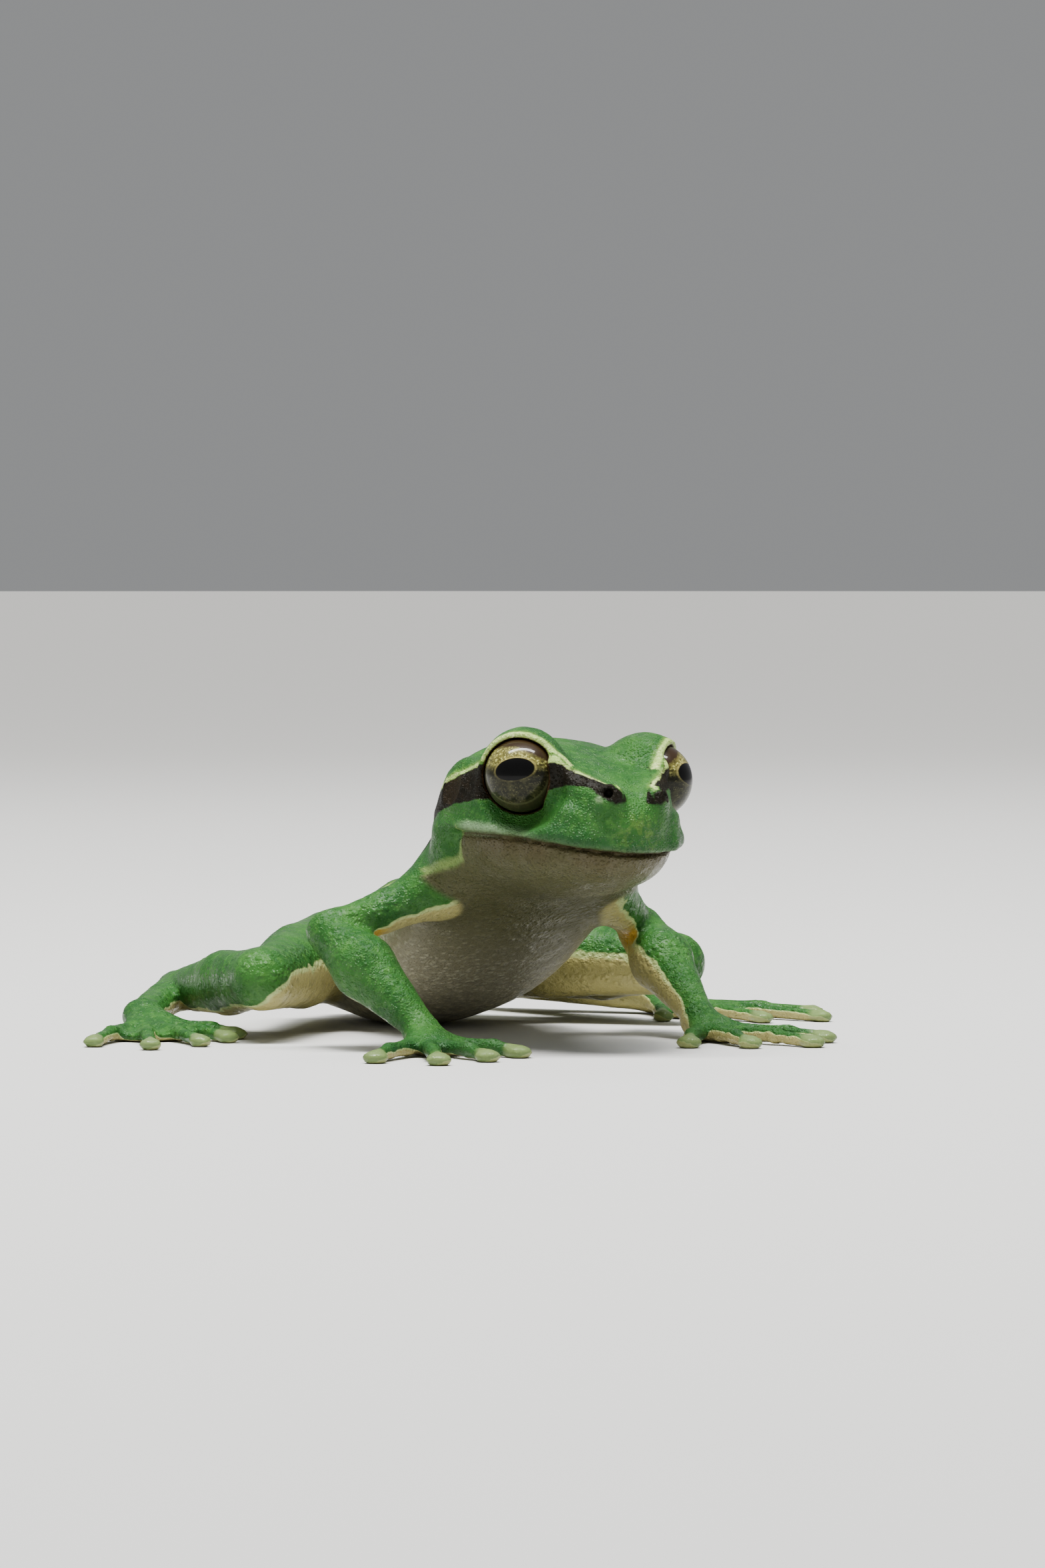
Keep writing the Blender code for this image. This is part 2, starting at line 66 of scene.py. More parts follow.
MM = 0.001
FINE = 0.14       # grid spacing over the head
COARSE = 0.32    # grid spacing elsewhere
GRID_X, HEAD_X = (-28, 30), (-7.9, 7.9)         # the whole box, and the part over the head
GRID_Y, HEAD_Y = (-9, 38), (-7.2, 5.0)
GRID_Z, HEAD_Z = (-1.4, 20.5), (9.6, 19.6)
NEAR_FLOOR = 1.5                    # below this height, over the hands and feet,
LOW_STEP = 0.22                     # the levels are closer together
EYE_RINGS, EYE_PARTS = ((72, 112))
FAR = 50.0
INSET = 0.02                        # keeps the skin just inside the CAD pieces

# ---- the frog's measures, as in the CAD ----
EYE_HEIGHT = 16.0
HEAD_PITCH = math.radians(6.5)
HEAD_ROLL = math.radians(3.0)
JAW_HALF = 7.2
JAW_BACK = 3.0
HEAD_LONG = 9.7
LIP_LEVEL = -3.0
CROWN = 4.7
THROAT = 4.7
MOUTH_LEVEL = -3.7
EYE_SIDE = 4.5
EYE_RADIUS = 2.2
LID_RADIUS = 2.6
EYE_TURN = math.radians(45.0)
OPENING_DROP = math.radians(-4)
OPENING_RADIUS = 3.3
OPENING_DEPTH = -0.45
NOSTRIL = (1.55, 5.1, -0.25)
EAR = (-3.75, -1.45)                # middle of the ear disc: ahead, up
EAR_RADIUS = 1.05
PUPIL_TURN = math.radians(42)       # how far out to the side the pupils look, and up
PUPIL_LIFT = math.radians(11)
PUPIL_HALF = (0.53, 0.30)           # half sizes of the pupil, as shares of the eye's radius
PUPIL_TILT = math.radians(8)

TRUNK = (
    # back, half width, top, widest level, belly, aside
    (4.0, 6.5, 17.5, 11.6, 9.4, 0.0),
    (7.0, 7.4, 17.0, 10.6, 7.4, 0.1),
    (10.0, 6.9, 14.7, 8.5, 5.4, 0.2),
    (14.0, 6.8, 11.9, 6.4, 3.0, 0.8),
    (19.0, 7.2, 10.3, 5.1, 1.0, 1.6),
    (24.0, 6.5, 9.2, 4.5, -0.2, 1.9),
    (28.5, 5.0, 7.8, 3.8, -0.2, 2.0),
    (33.0, 4.0, 5.9, 3.3, 0.6, 2.0),
)
TRUNK_CAP = 29.0
TRUNK_CAP_LONG = 5.6

SHOULDER = {"R": (-5.7, 7.8, 9.3), "L": (5.4, 7.8, 9.3)}
ELBOW = {"R": (-12.4, 9.0, 6.8), "L": (10.6, 12.2, 6.2)}
WRIST = {"R": (-9.8, 2.4, 1.45), "L": (10.0, 4.2, 1.45)}
HAND_TURN = {"R": math.radians(10), "L": math.radians(6)}
HIP = {"R": (-1.6, 29.6, 4.1), "L": (5.6, 29.6, 4.1)}
KNEE = {"R": (-13.8, 15.2, 3.8), "L": (15.4, 16.4, 3.8)}
HEEL = {"R": (-10.6, 33.4, 2.0), "L": (12.4, 34.2, 2.0)}
BALL = {"R": (-17.2, 24.6, 1.15), "L": (19.2, 25.6, 1.15)}
FOOT_TURN = {"R": math.radians(12), "L": math.radians(14)}
OUT = {"R": -1.0, "L": 1.0}

FINGER_LEVEL = 0.48
TIP_LEVEL = 0.34
FINGER_RADIUS = 0.46                # a little slimmer than the CAD pieces, so the pads stand out
DISC = (0.80, 0.80, 0.42)
TOE_DISC = (0.72, 0.72, 0.40)
PALM = 3.1
SOLE = 3.2
FINGERS = ((-48, 3.4), (-14, 4.3), (14, 5.9), (44, 4.7))
TOES = ((-44, 3.9), (-24, 5.6), (-5, 7.6), (13, 9.6), (33, 7.4))


# ---------------------------------------------------------------- the form

def smooth_stations(stations, spread=1.6, step=0.25):
    """The stations as evenly spaced values, with their corners rounded off."""
    rows = np.array(stations)
    pad = 4.0 * spread
    line = np.arange(rows[0, 0] - pad, rows[-1, 0] + pad, step)
    weights = np.exp(-0.5 * (np.arange(-pad, pad + step, step) / spread) ** 2)
    weights /= weights.sum()
    columns = []
    for i in range(1, rows.shape[1]):
        plain = np.interp(line, rows[:, 0], rows[:, i])
        padded = np.pad(plain, len(weights) // 2, mode="edge")
        columns.append(np.convolve(padded, weights, mode="valid")[:len(line)])
    return line, columns


TRUNK_LINE, TRUNK_SMOOTH = smooth_stations(TRUNK)


def smooth_min(a, b, k):
    """The lower of two fields, rounded over a width k where they meet."""
    near = np.maximum(k - np.abs(a - b), 0.0)
    return np.minimum(a, b) - near * near / (4.0 * k)


# The head's own directions, after its tilt.
HEAD_TURN = Matrix.Rotation(HEAD_PITCH, 3, "X") @ Matrix.Rotation(HEAD_ROLL, 3, "Y")
HEAD_AXES = [HEAD_TURN @ Vector(v) for v in ((1, 0, 0), (0, -1, 0), (0, 0, 1))]
HEAD_ASIDE, HEAD_AHEAD, HEAD_UP = HEAD_AXES


def head_point(aside, ahead, up):
    return Vector((0, 0, EYE_HEIGHT)) + HEAD_ASIDE * aside + HEAD_AHEAD * ahead + HEAD_UP * up


def head_coords(x, y, z):
    """Places in the head's own frame: aside, ahead, up."""
    return [x * v.x + y * v.y + (z - EYE_HEIGHT) * v.z for v in HEAD_AXES]


def eye_centre(sign):
    return head_point(sign * EYE_SIDE, 0, 0)


def nostril_point(sign, aside=0.0, ahead=0.0, up=0.0):
    """A place further out, ahead and up from a nostril."""
    return head_point(sign * (NOSTRIL[0] + aside), NOSTRIL[1] + ahead, NOSTRIL[2] + up)


def opening_direction(sign):
    """The way the opening between an eye's lids looks."""
    flat = HEAD_ASIDE * (sign * math.sin(EYE_TURN)) + HEAD_AHEAD * math.cos(EYE_TURN)
    return (flat * math.cos(OPENING_DROP) + HEAD_UP * math.sin(OPENING_DROP)).normalized()


def mix(a, b, t):
    """The point a given share of the way from one to the other."""
    return Vector([p + (q - p) * t for p, q in zip(a, b)])


def segment_distance(x, y, z, a, b):
    """Offsets of places from the line between two points, and the share along it."""
    ab = [float(q - p) for p, q in zip(a, b)]
    t = (x - a[0]) * ab[0] + (y - a[1]) * ab[1] + (z - a[2]) * ab[2]
    t = np.clip(t / sum(v * v for v in ab), 0.0, 1.0)
    dx, dy, dz = x - a[0] - t * ab[0], y - a[1] - t * ab[1], z - a[2] - t * ab[2]
    return dx, dy, dz, t


def graded_axis(low, high, fine_low, fine_high):
    """Grid places from low to high, fine between two limits and coarse outside."""
    before = np.arange(fine_low, low - COARSE, -COARSE)[::-1]
    middle = np.arange(fine_low, fine_high, FINE)[1:]
    after = np.arange(middle[-1] + COARSE, high + COARSE, COARSE)
    return np.concatenate([before, middle, after])


class Field:
    """A sampled distance field that shapes are blended into, box by box."""

    def __init__(self):
        heights = graded_axis(*GRID_Z, *HEAD_Z)
        near_floor = np.arange(-1.0, NEAR_FLOOR, LOW_STEP)
        self.axes = [graded_axis(*GRID_X, *HEAD_X), graded_axis(*GRID_Y, *HEAD_Y),
                     np.concatenate([near_floor, heights[heights > NEAR_FLOOR]])]
        self.value = np.full([len(a) for a in self.axes], FAR)

    def window(self, low, high):
        cut, grids = [], []
        for axis, lo, hi in zip(self.axes, low, high):
            first = int(np.searchsorted(axis, lo))
            cut.append(slice(first, max(int(np.searchsorted(axis, hi)), first + 1)))
            grids.append(axis[cut[-1]])
        return tuple(cut), np.meshgrid(*grids, indexing="ij")

    def blend(self, low, high, shape, k):
        cut, (x, y, z) = self.window(low, high)
        self.value[cut] = smooth_min(self.value[cut], shape(x, y, z), k)

    def carve(self, centre, radius, k):
        """Take a ball away, with the rim rounded."""
        c = np.array(centre, float)
        cut, (x, y, z) = self.window(c - radius - 1.5, c + radius + 1.5)
        ball = np.sqrt((x - c[0]) ** 2 + (y - c[1]) ** 2 + (z - c[2]) ** 2) - radius
        self.value[cut] = -smooth_min(-self.value[cut], ball, k)

    def tube(self, a, b, ra, rb, k, flat=1.0):
        """A tapered tube; flat under 1 squashes it vertically."""
        a, b = np.array(a, float), np.array(b, float)
        reach = max(ra, rb) + 2.0

        def shape(x, y, z):
            dx, dy, dz, t = segment_distance(x, y, z, a, b)
            return np.sqrt(dx * dx + dy * dy + (dz / flat) ** 2) - (ra + (rb - ra) * t)

        self.blend(np.minimum(a, b) - reach, np.maximum(a, b) + reach, shape, k)

    def ball(self, centre, radii, k, axes=None):
        """An ellipsoid, along the given axes if any."""
        c = np.array(centre, float)
        basis = np.array(axes if axes else ((1, 0, 0), (0, 1, 0), (0, 0, 1)), float)
        reach = max(radii) + 2.0

        def shape(x, y, z):
            local = [sum((p - c[i]) * row[i] for i, p in enumerate((x, y, z))) for row in basis]
            k0 = np.sqrt(sum((q / r) ** 2 for q, r in zip(local, radii)))
            k1 = np.sqrt(sum((q / (r * r)) ** 2 for q, r in zip(local, radii)))
            return k0 * (k0 - 1.0) / np.maximum(k1, 1e-6)

        self.blend(c - reach, c + reach, shape, k)

    def emboss(self, path, height, width):
        """A soft ridge along a path, or a groove where the height is negative."""
        points = np.array([tuple(p) for p in path], float)
        reach = 2.5 * width
        cut, (x, y, z) = self.window(points.min(axis=0) - reach, points.max(axis=0) + reach)
        near = np.full(x.shape, FAR)
        for a, b in zip(points, points[1:]):
            dx, dy, dz, _ = segment_distance(x, y, z, a, b)
            near = np.minimum(near, dx * dx + dy * dy + dz * dz)
        self.value[cut] -= height * np.exp(-near / (width * width))

    def at(self, p):
        """The field's value at one place."""
        spot = [min(max(int(np.searchsorted(a, v)) - 1, 0), len(a) - 2) for a, v in zip(self.axes, p)]
        found = self.value[tuple(slice(i, i + 2) for i in spot)]
        for axis, v, i in zip(self.axes, p, spot):
            share = (v - axis[i]) / (axis[i + 1] - axis[i])
            found = found[0] * (1.0 - share) + found[1] * share
        return found

    def press(self, start, direction, reach=9.0):
        """Where a ray from outside first meets the surface."""
        start, direction = Vector(start), Vector(direction).normalized()
        step, travelled = 0.1, 0.0
        while travelled < reach and self.at(start + direction * travelled) > 0.0:
            travelled += step
        return start + direction * travelled


def head_shape(x, y, z):
    """The head as one formula: broad at the jaw, tapering to a rounded snout."""
    aside, ahead, up = head_coords(x, y, z)
    t = np.maximum(ahead + JAW_BACK, 0.0) / HEAD_LONG
    rise = up - LIP_LEVEL
    above = (np.maximum(rise, 0.0) / CROWN) ** 3.2
    below = (np.maximum(-rise, 0.0) / THROAT) ** 2.2
    back = (np.maximum(-ahead - 4.0, 0.0) / 3.0) ** 2
    level = (aside / JAW_HALF) ** 2 + t ** 1.25 + above + below + back
    return (np.sqrt(level) - 1.0) * 4.0


def trunk_shape(x, y, z):
    """The trunk as sections along its length, with a rounded rump."""
    half, top, wide, belly, shift = (np.interp(y, TRUNK_LINE, column) for column in TRUNK_SMOOTH)
    up = np.maximum(z - wide, 0.0) / (top - wide)
    down = np.maximum(wide - z, 0.0) / (wide - belly)
    ends = (np.maximum(y - TRUNK_CAP, 0.0) / TRUNK_CAP_LONG) ** 2
    front = (np.maximum(6.0 - y, 0.0) / 3.0) ** 2
    level = ((x - shift) / half) ** 2 + up ** 1.8 + down ** 2.3 + ends + front
    return (np.sqrt(level) - 1.0) * 4.5


def place(root, angle, out, length, level):
    """A point on the floor, at an angle outward from straight ahead."""
    return (root[0] + out * math.sin(angle) * length, root[1] - math.cos(angle) * length, level)


def fan(start, turn, out, palm, digits, bend):
    """Root, knuckle and tip of each finger or toe."""
    found = []
    for degrees, length in digits:
        spread = math.radians(degrees)
        root = place(start, turn + spread * 0.8, out, palm, FINGER_LEVEL + 0.12)
        knuckle = place(root, turn + spread, out, length * 0.5, FINGER_LEVEL + 0.10)
        tip = place(knuckle, turn + spread * (1 - bend * 0.3), out, length * 0.5, TIP_LEVEL)
        found.append((root, knuckle, tip))
    return found


def hand_digits(side):
    return fan(WRIST[side], HAND_TURN[side], OUT[side], PALM, FINGERS, 0.5)


def foot_digits(side):
    return fan(BALL[side], FOOT_TURN[side], OUT[side], SOLE, TOES, 0.35)


def add_digit(field, root, knuckle, tip, disc):
    field.tube(root, knuckle, FINGER_RADIUS + 0.06, FINGER_RADIUS, 0.2)
    field.tube(knuckle, tip, FINGER_RADIUS, FINGER_RADIUS * 0.92, 0.2)
    field.ball(tip, disc, 0.25)


def add_arm(field, side):
    shoulder, elbow, wrist = SHOULDER[side], ELBOW[side], WRIST[side]
    field.tube(shoulder, mix(shoulder, elbow, 0.5), 1.75, 1.25, 1.4)
    field.tube(mix(shoulder, elbow, 0.5), elbow, 1.25, 1.3, 0.5)
    belly = mix(elbow, wrist, 0.36)
    field.tube(elbow, belly, 1.4, 1.9, 0.5)
    field.tube(belly, wrist, 1.9, 0.95, 0.5)
    field.tube(wrist, place(wrist, HAND_TURN[side], OUT[side], 1.6, 0.75), 1.0, 1.05, 0.6, 0.8)
    for root, knuckle, tip in hand_digits(side):
        field.tube((wrist[0], wrist[1], 1.0), root, 0.85, FINGER_RADIUS + 0.08, 0.5, 0.9)
        add_digit(field, root, knuckle, tip, DISC)


def add_leg(field, side):
    hip, knee, heel, ball = HIP[side], KNEE[side], HEEL[side], BALL[side]
    field.tube(hip, mix(hip, knee, 0.5), 2.9, 2.5, 1.2)
    field.tube(mix(hip, knee, 0.5), knee, 2.5, 1.95, 0.5)
    calf = mix(knee, heel, 0.38)
    field.tube(knee, calf, 1.75, 1.95, 0.4)
    field.tube(calf, heel, 1.95, 1.25, 0.4)
    field.tube(heel, ball, 1.3, 1.15, 0.3, 0.9)
    digits = foot_digits(side)
    for root, knuckle, tip in digits:
        field.tube(ball, root, 1.0, FINGER_RADIUS + 0.1, 0.5, 0.85)
        add_digit(field, root, knuckle, tip, TOE_DISC)
    for (root, knuckle, _), (root2, knuckle2, _) in zip(digits, digits[1:]):
        for step in np.linspace(0.0, 0.75, 6):
            a, b = mix(root, knuckle, step), mix(root2, knuckle2, step)
            field.tube((a[0], a[1], 0.34), (b[0], b[1], 0.34), 0.5, 0.5, 0.15, 0.62)


def add_head(field):
    for sign in (-1.0, 1.0):
        field.ball(head_point(sign * (EYE_SIDE - 0.1), -0.1, 0.0), [LID_RADIUS] * 3, 0.8)
        field.ball(head_point(sign * 3.95, -0.7, 0.3), (2.3, 2.7, 2.4), 0.7, HEAD_AXES)
        field.tube(head_point(sign * 3.2, 2.0, 0.35), nostril_point(sign, up=-0.5), 0.9, 0.75, 0.8)
        out = opening_direction(sign) * (OPENING_DEPTH + OPENING_RADIUS)
        field.carve(eye_centre(sign) + out, OPENING_RADIUS, 0.3)


def plain_frog():
    """The same blended form that the CAD pieces were cut from."""
    field = Field()
    field.blend((-9, -9, 6), (9, 9, 20.4), head_shape, 1.0)
    field.blend((-11, 1, -1.4), (12, 37, 20.4), trunk_shape, 2.2)
    add_head(field)
    for side in "RL":
        add_arm(field, side)
        add_leg(field, side)
    field.value += INSET
    return field


# ---------------------------------------------------------------- worked-in detail

def ring_points(centre, axis, radius, count=28, start=0.0, sweep=360.0):
    """Points round a circle, from an angle where 0 is the highest place."""
    axis = Vector(axis).normalized()
    up = (Vector((0, 0, 1)) - axis * axis.z).normalized()
    side = axis.cross(up)
    angles = [math.radians(start + sweep * i / count) for i in range(count + 1)]
    return [Vector(centre) + (up * math.cos(a) + side * math.sin(a)) * radius for a in angles]


def on_side(field, sign, ahead, up):
    """A place on the side of the head or neck, found by looking in from outside."""
    return field.press(head_point(sign * 10.0, ahead, up), -HEAD_ASIDE * sign, 9.9)


def work_lids(field, sign):
    """Rolled lid rims close round the eye, thicker above, and the hollow the eye sits in."""
    eye, look = eye_centre(sign), opening_direction(sign)
    for ahead, radius, start, sweep, height, width in (
            (0.48, 2.30, -105, 210, 0.18, 0.25),        # the upper lid's rim
            (0.32, 2.32, 105, 150, 0.15, 0.22),         # the lower lid's rim
            (-0.05, 2.82, 115, 130, -0.05, 0.25)):      # the hollow under it
        field.emboss(ring_points(eye + look * ahead, look, radius, 20, start, sweep), height, width)
    corner = [head_point(sign * 3.66, 2.05, 0.75), head_point(sign * 3.54, 1.95, -1.0)]
    field.tube(*corner, 0.50, 0.45, 1.0)
    field.carve(eye, EYE_RADIUS + 0.03, 0.06)


def work_nostril(field, sign):
    """A raised rim on a low swelling, and the hole in it."""
    spot = field.press(nostril_point(sign, 3.0, 2.75, 0.9),
                       HEAD_ASIDE * -sign * 3.0 - HEAD_AHEAD * 2.4 - HEAD_UP * 0.9)
    look = (HEAD_ASIDE * sign * 0.75 + HEAD_AHEAD * 0.55 + HEAD_UP * 0.25).normalized()
    field.ball(spot - look * 0.42, (0.62, 0.62, 0.62), 0.45)
    field.emboss(ring_points(spot + look * 0.05, look, 0.36, 12), 0.07, 0.14)
    field.carve(spot + look * 0.22, 0.30, 0.1)
    field.carve(spot - look * 0.05 - HEAD_AHEAD * 0.05, 0.22, 0.08)


def mouth_level(ahead):
    """Height of the mouth's line, a shallow wave along the head."""
    return MOUTH_LEVEL + 0.12 * np.sin(ahead * 0.55 + 0.6) + 0.02 * ahead


def work_mouth(field):
    """The closed mouth: a line under a soft upper lip, with the lower jaw set back."""
    cut, (x, y, z) = field.window((-8.5, -8.5, 7.5), (8.5, 6.0, 16.0))
    _, ahead, up = head_coords(x, y, z)
    reach = 1.0 / (1.0 + np.exp(-(ahead + 2.7) / 0.22))
    gap = up - mouth_level(ahead)
    line = 0.20 * np.exp(-(gap / 0.12) ** 2)
    lip = -0.05 * np.exp(-((gap - 0.42) / 0.40) ** 2)
    jaw = 0.20 * np.exp(np.minimum(gap, 0.0) / 1.1) / (1.0 + np.exp(gap / 0.06))
    field.value[cut] += (line + lip + jaw) * reach


# Ridges and furrows on the side of the head: path as ahead and up, height, width.
SIDE_FOLDS = (
    # the fold over the ear
    (((-2.3, 0.0), (-3.2, 0.25), (-4.3, 0.1), (-5.2, -0.7), (-5.7, -1.9), (-6.1, -3.2)), 0.20, 0.42),
    # the crease down from the corner of the mouth
    (((-2.5, -3.75), (-3.0, -4.3), (-3.4, -5.2), (-3.9, -6.2)), -0.16, 0.3),
    # the gland behind the corner
    (((-2.7, -3.5), (-3.6, -3.6), (-4.5, -4.1)), 0.14, 0.4),
    # the hollow between eye and nostril
    (((2.6, -0.75), (3.9, -0.80)), -0.08, 0.45),
    # the cheek
    (((0.8, -2.5), (2.3, -1.9), (3.7, -1.6), (4.8, -1.75)), 0.07, 0.62),
    # the upper lip
    (((2.6, -2.95), (3.8, -2.9), (5.2, -2.9)), 0.20, 0.60),
)


def work_side(field, sign):
    """The ear disc with its rim, and the folds of the side of the head."""
    centre = on_side(field, sign, *EAR)
    look = (HEAD_ASIDE * sign + HEAD_UP * 0.15).normalized()
    field.emboss([centre - look * 0.05, centre + look * 0.05], -0.10, 0.8)
    field.emboss(ring_points(centre, look, EAR_RADIUS, 20), 0.10, 0.18)
    for path, height, width in SIDE_FOLDS:
        field.emboss([on_side(field, sign, *spot) for spot in path], height, width)


def work_back(field):
    """The soft hump over the hips, the shallow groove along the spine and the hip bones."""
    def on_back(back, out):
        shift = float(np.interp(back, TRUNK_LINE, TRUNK_SMOOTH[4]))
        return field.press((shift + out, back, 20.0), (0, 0, -1), 19.0)

    field.emboss([on_back(y, 0.0) for y in (9.0, 12.0, 16.0, 20.0)], -0.10, 0.7)
    field.emboss([on_back(y, 0.0) for y in (24.5, 26.0)], 0.20, 1.6)
    for sign in (-1.0, 1.0):
        hip_bone = ((22.5, 2.9), (25.0, 2.4), (27.5, 2.0))
        field.emboss([on_back(y, sign * o) for y, o in hip_bone], 0.16, 0.7)


def elbow_bend(side):
    """The elbow, the way into its bend, and the line it hinges on."""
    elbow = Vector(ELBOW[side])
    one, two = ((Vector(p[side]) - elbow).normalized() for p in (SHOULDER, WRIST))
    return elbow, (one + two).normalized(), one.cross(two).normalized()


def work_arm(field, side):
    """The folds in the elbow's bend, its point, and the creases at the wrist."""
    elbow, inner, hinge = elbow_bend(side)
    bend = [elbow + inner * r + hinge * h for r, h in ((1.5, -1.3), (1.75, 0.0), (1.5, 1.3))]
    field.emboss(bend, -0.25, 0.35)
    front, inward = Vector((OUT[side] * 0.45, -0.9, 0.0)), Vector((-OUT[side] * 0.875, -0.485, 0.0))
    fold = [field.press(elbow + inward * a + Vector((0, 0, b)) + front * 4.0, -front)
            for a, b in ((2.5, 0.55), (1.7, 0.75), (0.9, 0.90), (0.1, 0.95))]
    field.emboss(fold, -0.20, 0.28)
    field.emboss([elbow - inner * 1.35, elbow - inner * 1.2], 0.10, 0.6)
    wrist = Vector(WRIST[side])
    for past in (-0.01, 0.06):
        spot = wrist + (wrist - elbow) * past
        field.emboss(ring_points(spot, wrist - elbow, 1.0, 14), -0.06, 0.16)


def work_leg(field, side):
    """The muscles of thigh and calf, and the crease behind the knee."""
    knee, heel, hip = Vector(KNEE[side]), Vector(HEEL[side]), Vector(HIP[side])
    for a, b, shares, aside, rise, height, width in (
            (hip, knee, (0.35, 0.5, 0.68), 0.0, 1.6, 0.22, 1.1),
            (knee, heel, (0.22, 0.36, 0.5), 0.8, 1.4, 0.16, 0.8),
            (knee, mix(hip, heel, 0.5), (0.06, 0.2, 0.35), 0.0, 2.0, -0.2, 0.45)):
        off = Vector((OUT[side] * aside, 0, rise))
        field.emboss([mix(a, b, share) + off for share in shares], height, width)


def work_digits(field, side):
    """A knuckle on each finger and toe, and a slight neck before its pad."""
    for _, knuckle, tip in hand_digits(side) + foot_digits(side):
        knuckle, tip = Vector(knuckle), Vector(tip)
        field.emboss([knuckle, knuckle + Vector((0, 0, 0.1))], 0.10, 0.45)
        line = (tip - knuckle).normalized()
        neck = tip - line * 1.0
        across = Vector((line.y, -line.x, 0)) * 0.55
        field.emboss([neck - across, neck + across], -0.05, 0.25)


def detailed_frog():
    field = plain_frog()
    work_mouth(field)
    work_back(field)
    for sign in (-1.0, 1.0):
        work_side(field, sign)
        work_nostril(field, sign)
        work_lids(field, sign)
    for side in "RL":
        work_arm(field, side)
        work_leg(field, side)
        work_digits(field, side)
    return field


# ---------------------------------------------------------------- from form to mesh

def cell_points(field, cells):
    """In each cell, the mean of the places where its edges cross the zero level."""
    total, hits = np.zeros((len(cells), 3)), np.zeros(len(cells))
    for axis in range(3):
        others = [a for a in range(3) if a != axis]
        for step in ((0, 0), (0, 1), (1, 0), (1, 1)):
            start = cells.copy()
            start[:, others] += step
            end = start.copy()
            end[:, axis] += 1
            v0, v1 = (field.value[tuple(c.T)] for c in (start, end))
            p0, p1 = (np.stack([a[i] for a, i in zip(field.axes, c.T)], axis=1) for c in (start, end))
            cross = (v0 < 0) != (v1 < 0)
            t = np.where(cross, v0 / np.where(cross, v0 - v1, 1.0), 0.0)
            total += (p0 + (p1 - p0) * t[:, None]) * cross[:, None]
            hits += cross
    return total / hits[:, None]


def crossing_quads(inside, index):
    """A quad round each grid edge that the level crosses, facing out."""
    faces = []
    for axis in range(3):
        others = [(axis + 1) % 3, (axis + 2) % 3]
        first, second = (np.take(inside, range(i, inside.shape[axis] - 1 + i), axis) for i in (0, 1))
        for want in (True, False):
            spots = np.argwhere((first == want) & (second != want))
            ring = []
            for step in ((0, 0), (-1, 0), (-1, -1), (0, -1)):
                corner = spots.copy()
                corner[:, others] += step
                ring.append(index[tuple(corner.T)])
            faces.append(np.stack(ring if want else ring[::-1], axis=1))
    return np.concatenate(faces)


def surface(field):
    """One closed mesh on the zero level: a point in each mixed cell, a quad per crossing."""
    inside = field.value < 0.0
    nx, ny, nz = (n - 1 for n in inside.shape)
    count = sum(inside[i:nx + i, j:ny + j, k:nz + k].astype(np.int8)
                for i in (0, 1) for j in (0, 1) for k in (0, 1))
    cells = np.argwhere((count > 0) & (count < 8))
    index = np.full(count.shape, -1, dtype=np.int64)
    index[tuple(cells.T)] = np.arange(len(cells))
    return cell_points(field, cells), crossing_quads(inside, index)


def gather(index, rows, count):
    """The sum of the rows that belong to each index."""
    return np.stack([np.bincount(index, weights=row, minlength=count) for row in rows.T], axis=1)


def relax(points, faces, rounds, share):
    """Even out the sampling steps, with a push back after each pull so it keeps its size."""
    edges = np.concatenate([faces[:, [i, (i + 1) % 4]] for i in range(4)])
    edges = np.concatenate([edges, edges[:, ::-1]])
    degree = np.bincount(edges[:, 0], minlength=len(points)).astype(float)[:, None]
    for pull in [0.5, -0.52] * rounds:
        mean = gather(edges[:, 0], points[edges[:, 1]], len(points)) / degree
        points = points + (mean - points) * pull * share
    return points


def limb_share(points):
    """1 on the coarsely sampled limbs and trunk, 0 on the head, with a soft change between."""
    away = np.maximum(10.0 - points[:, 2], points[:, 1] - 5.0)
    return np.clip(away / 2.0, 0.0, 1.0)[:, None]


def vertex_normals(points, faces):
    a, b, c, d = (points[faces[:, i]] for i in range(4))
    normal = np.cross(c - a, d - b)
    total = sum(gather(faces[:, i], normal, len(points)) for i in range(4))
    return total / np.maximum(np.linalg.norm(total, axis=1, keepdims=True), 1e-9)


# ---------------------------------------------------------------- markings

# Middle line and half height of the dark stripe, in the head's frame: ahead, up, half height.
STRIPE_HEAD = ((6.0, -0.62, 0.06), (5.7, -0.36, 0.18), (5.2, -0.06, 0.27), (4.7, 0.14, 0.16),
               (4.2, 0.22, 0.20), (3.6, 0.26, 0.32), (3.0, 0.28, 0.46), (2.3, 0.32, 0.76),
               (1.6, 0.12, 0.80), (0.0, -0.20, 0.80), (-1.1, -0.62, 0.98), (-2.4, -1.05, 0.95),
               (-3.8, -1.65, 0.86), (-5.2, -2.30, 0.80))
# The same further back, in the frog's frame: back, up, half height.
STRIPE_BODY = ((7.6, 13.0, 0.76), (10.0, 11.4, 0.72), (15.0, 8.7, 0.72),
               (20.0, 6.9, 0.70), (26.0, 5.5, 0.66), (30.5, 4.6, 0.50))
GROIN_LOOP = ((25.0, 5.9, 0.60), (24.0, 6.9, 0.48), (22.8, 7.8, 0.34), (21.7, 8.5, 0.20))
# The pale line from the lid's front corner along the brow edge to over the nostril:
# aside, ahead, up, half width.
BROW_LINE = ((4.02, 1.45, 1.22, 0.25), (3.74, 1.9, 1.05, 0.22), (3.22, 2.6, 0.85, 0.12),
             (2.66, 3.3, 0.58, 0.11), (2.14, 3.9, 0.42, 0.10), (1.58, 4.6, 0.30, 0.11),
             (1.20, 5.15, 0.20, 0.13), (1.00, 5.6, 0.02, 0.12))
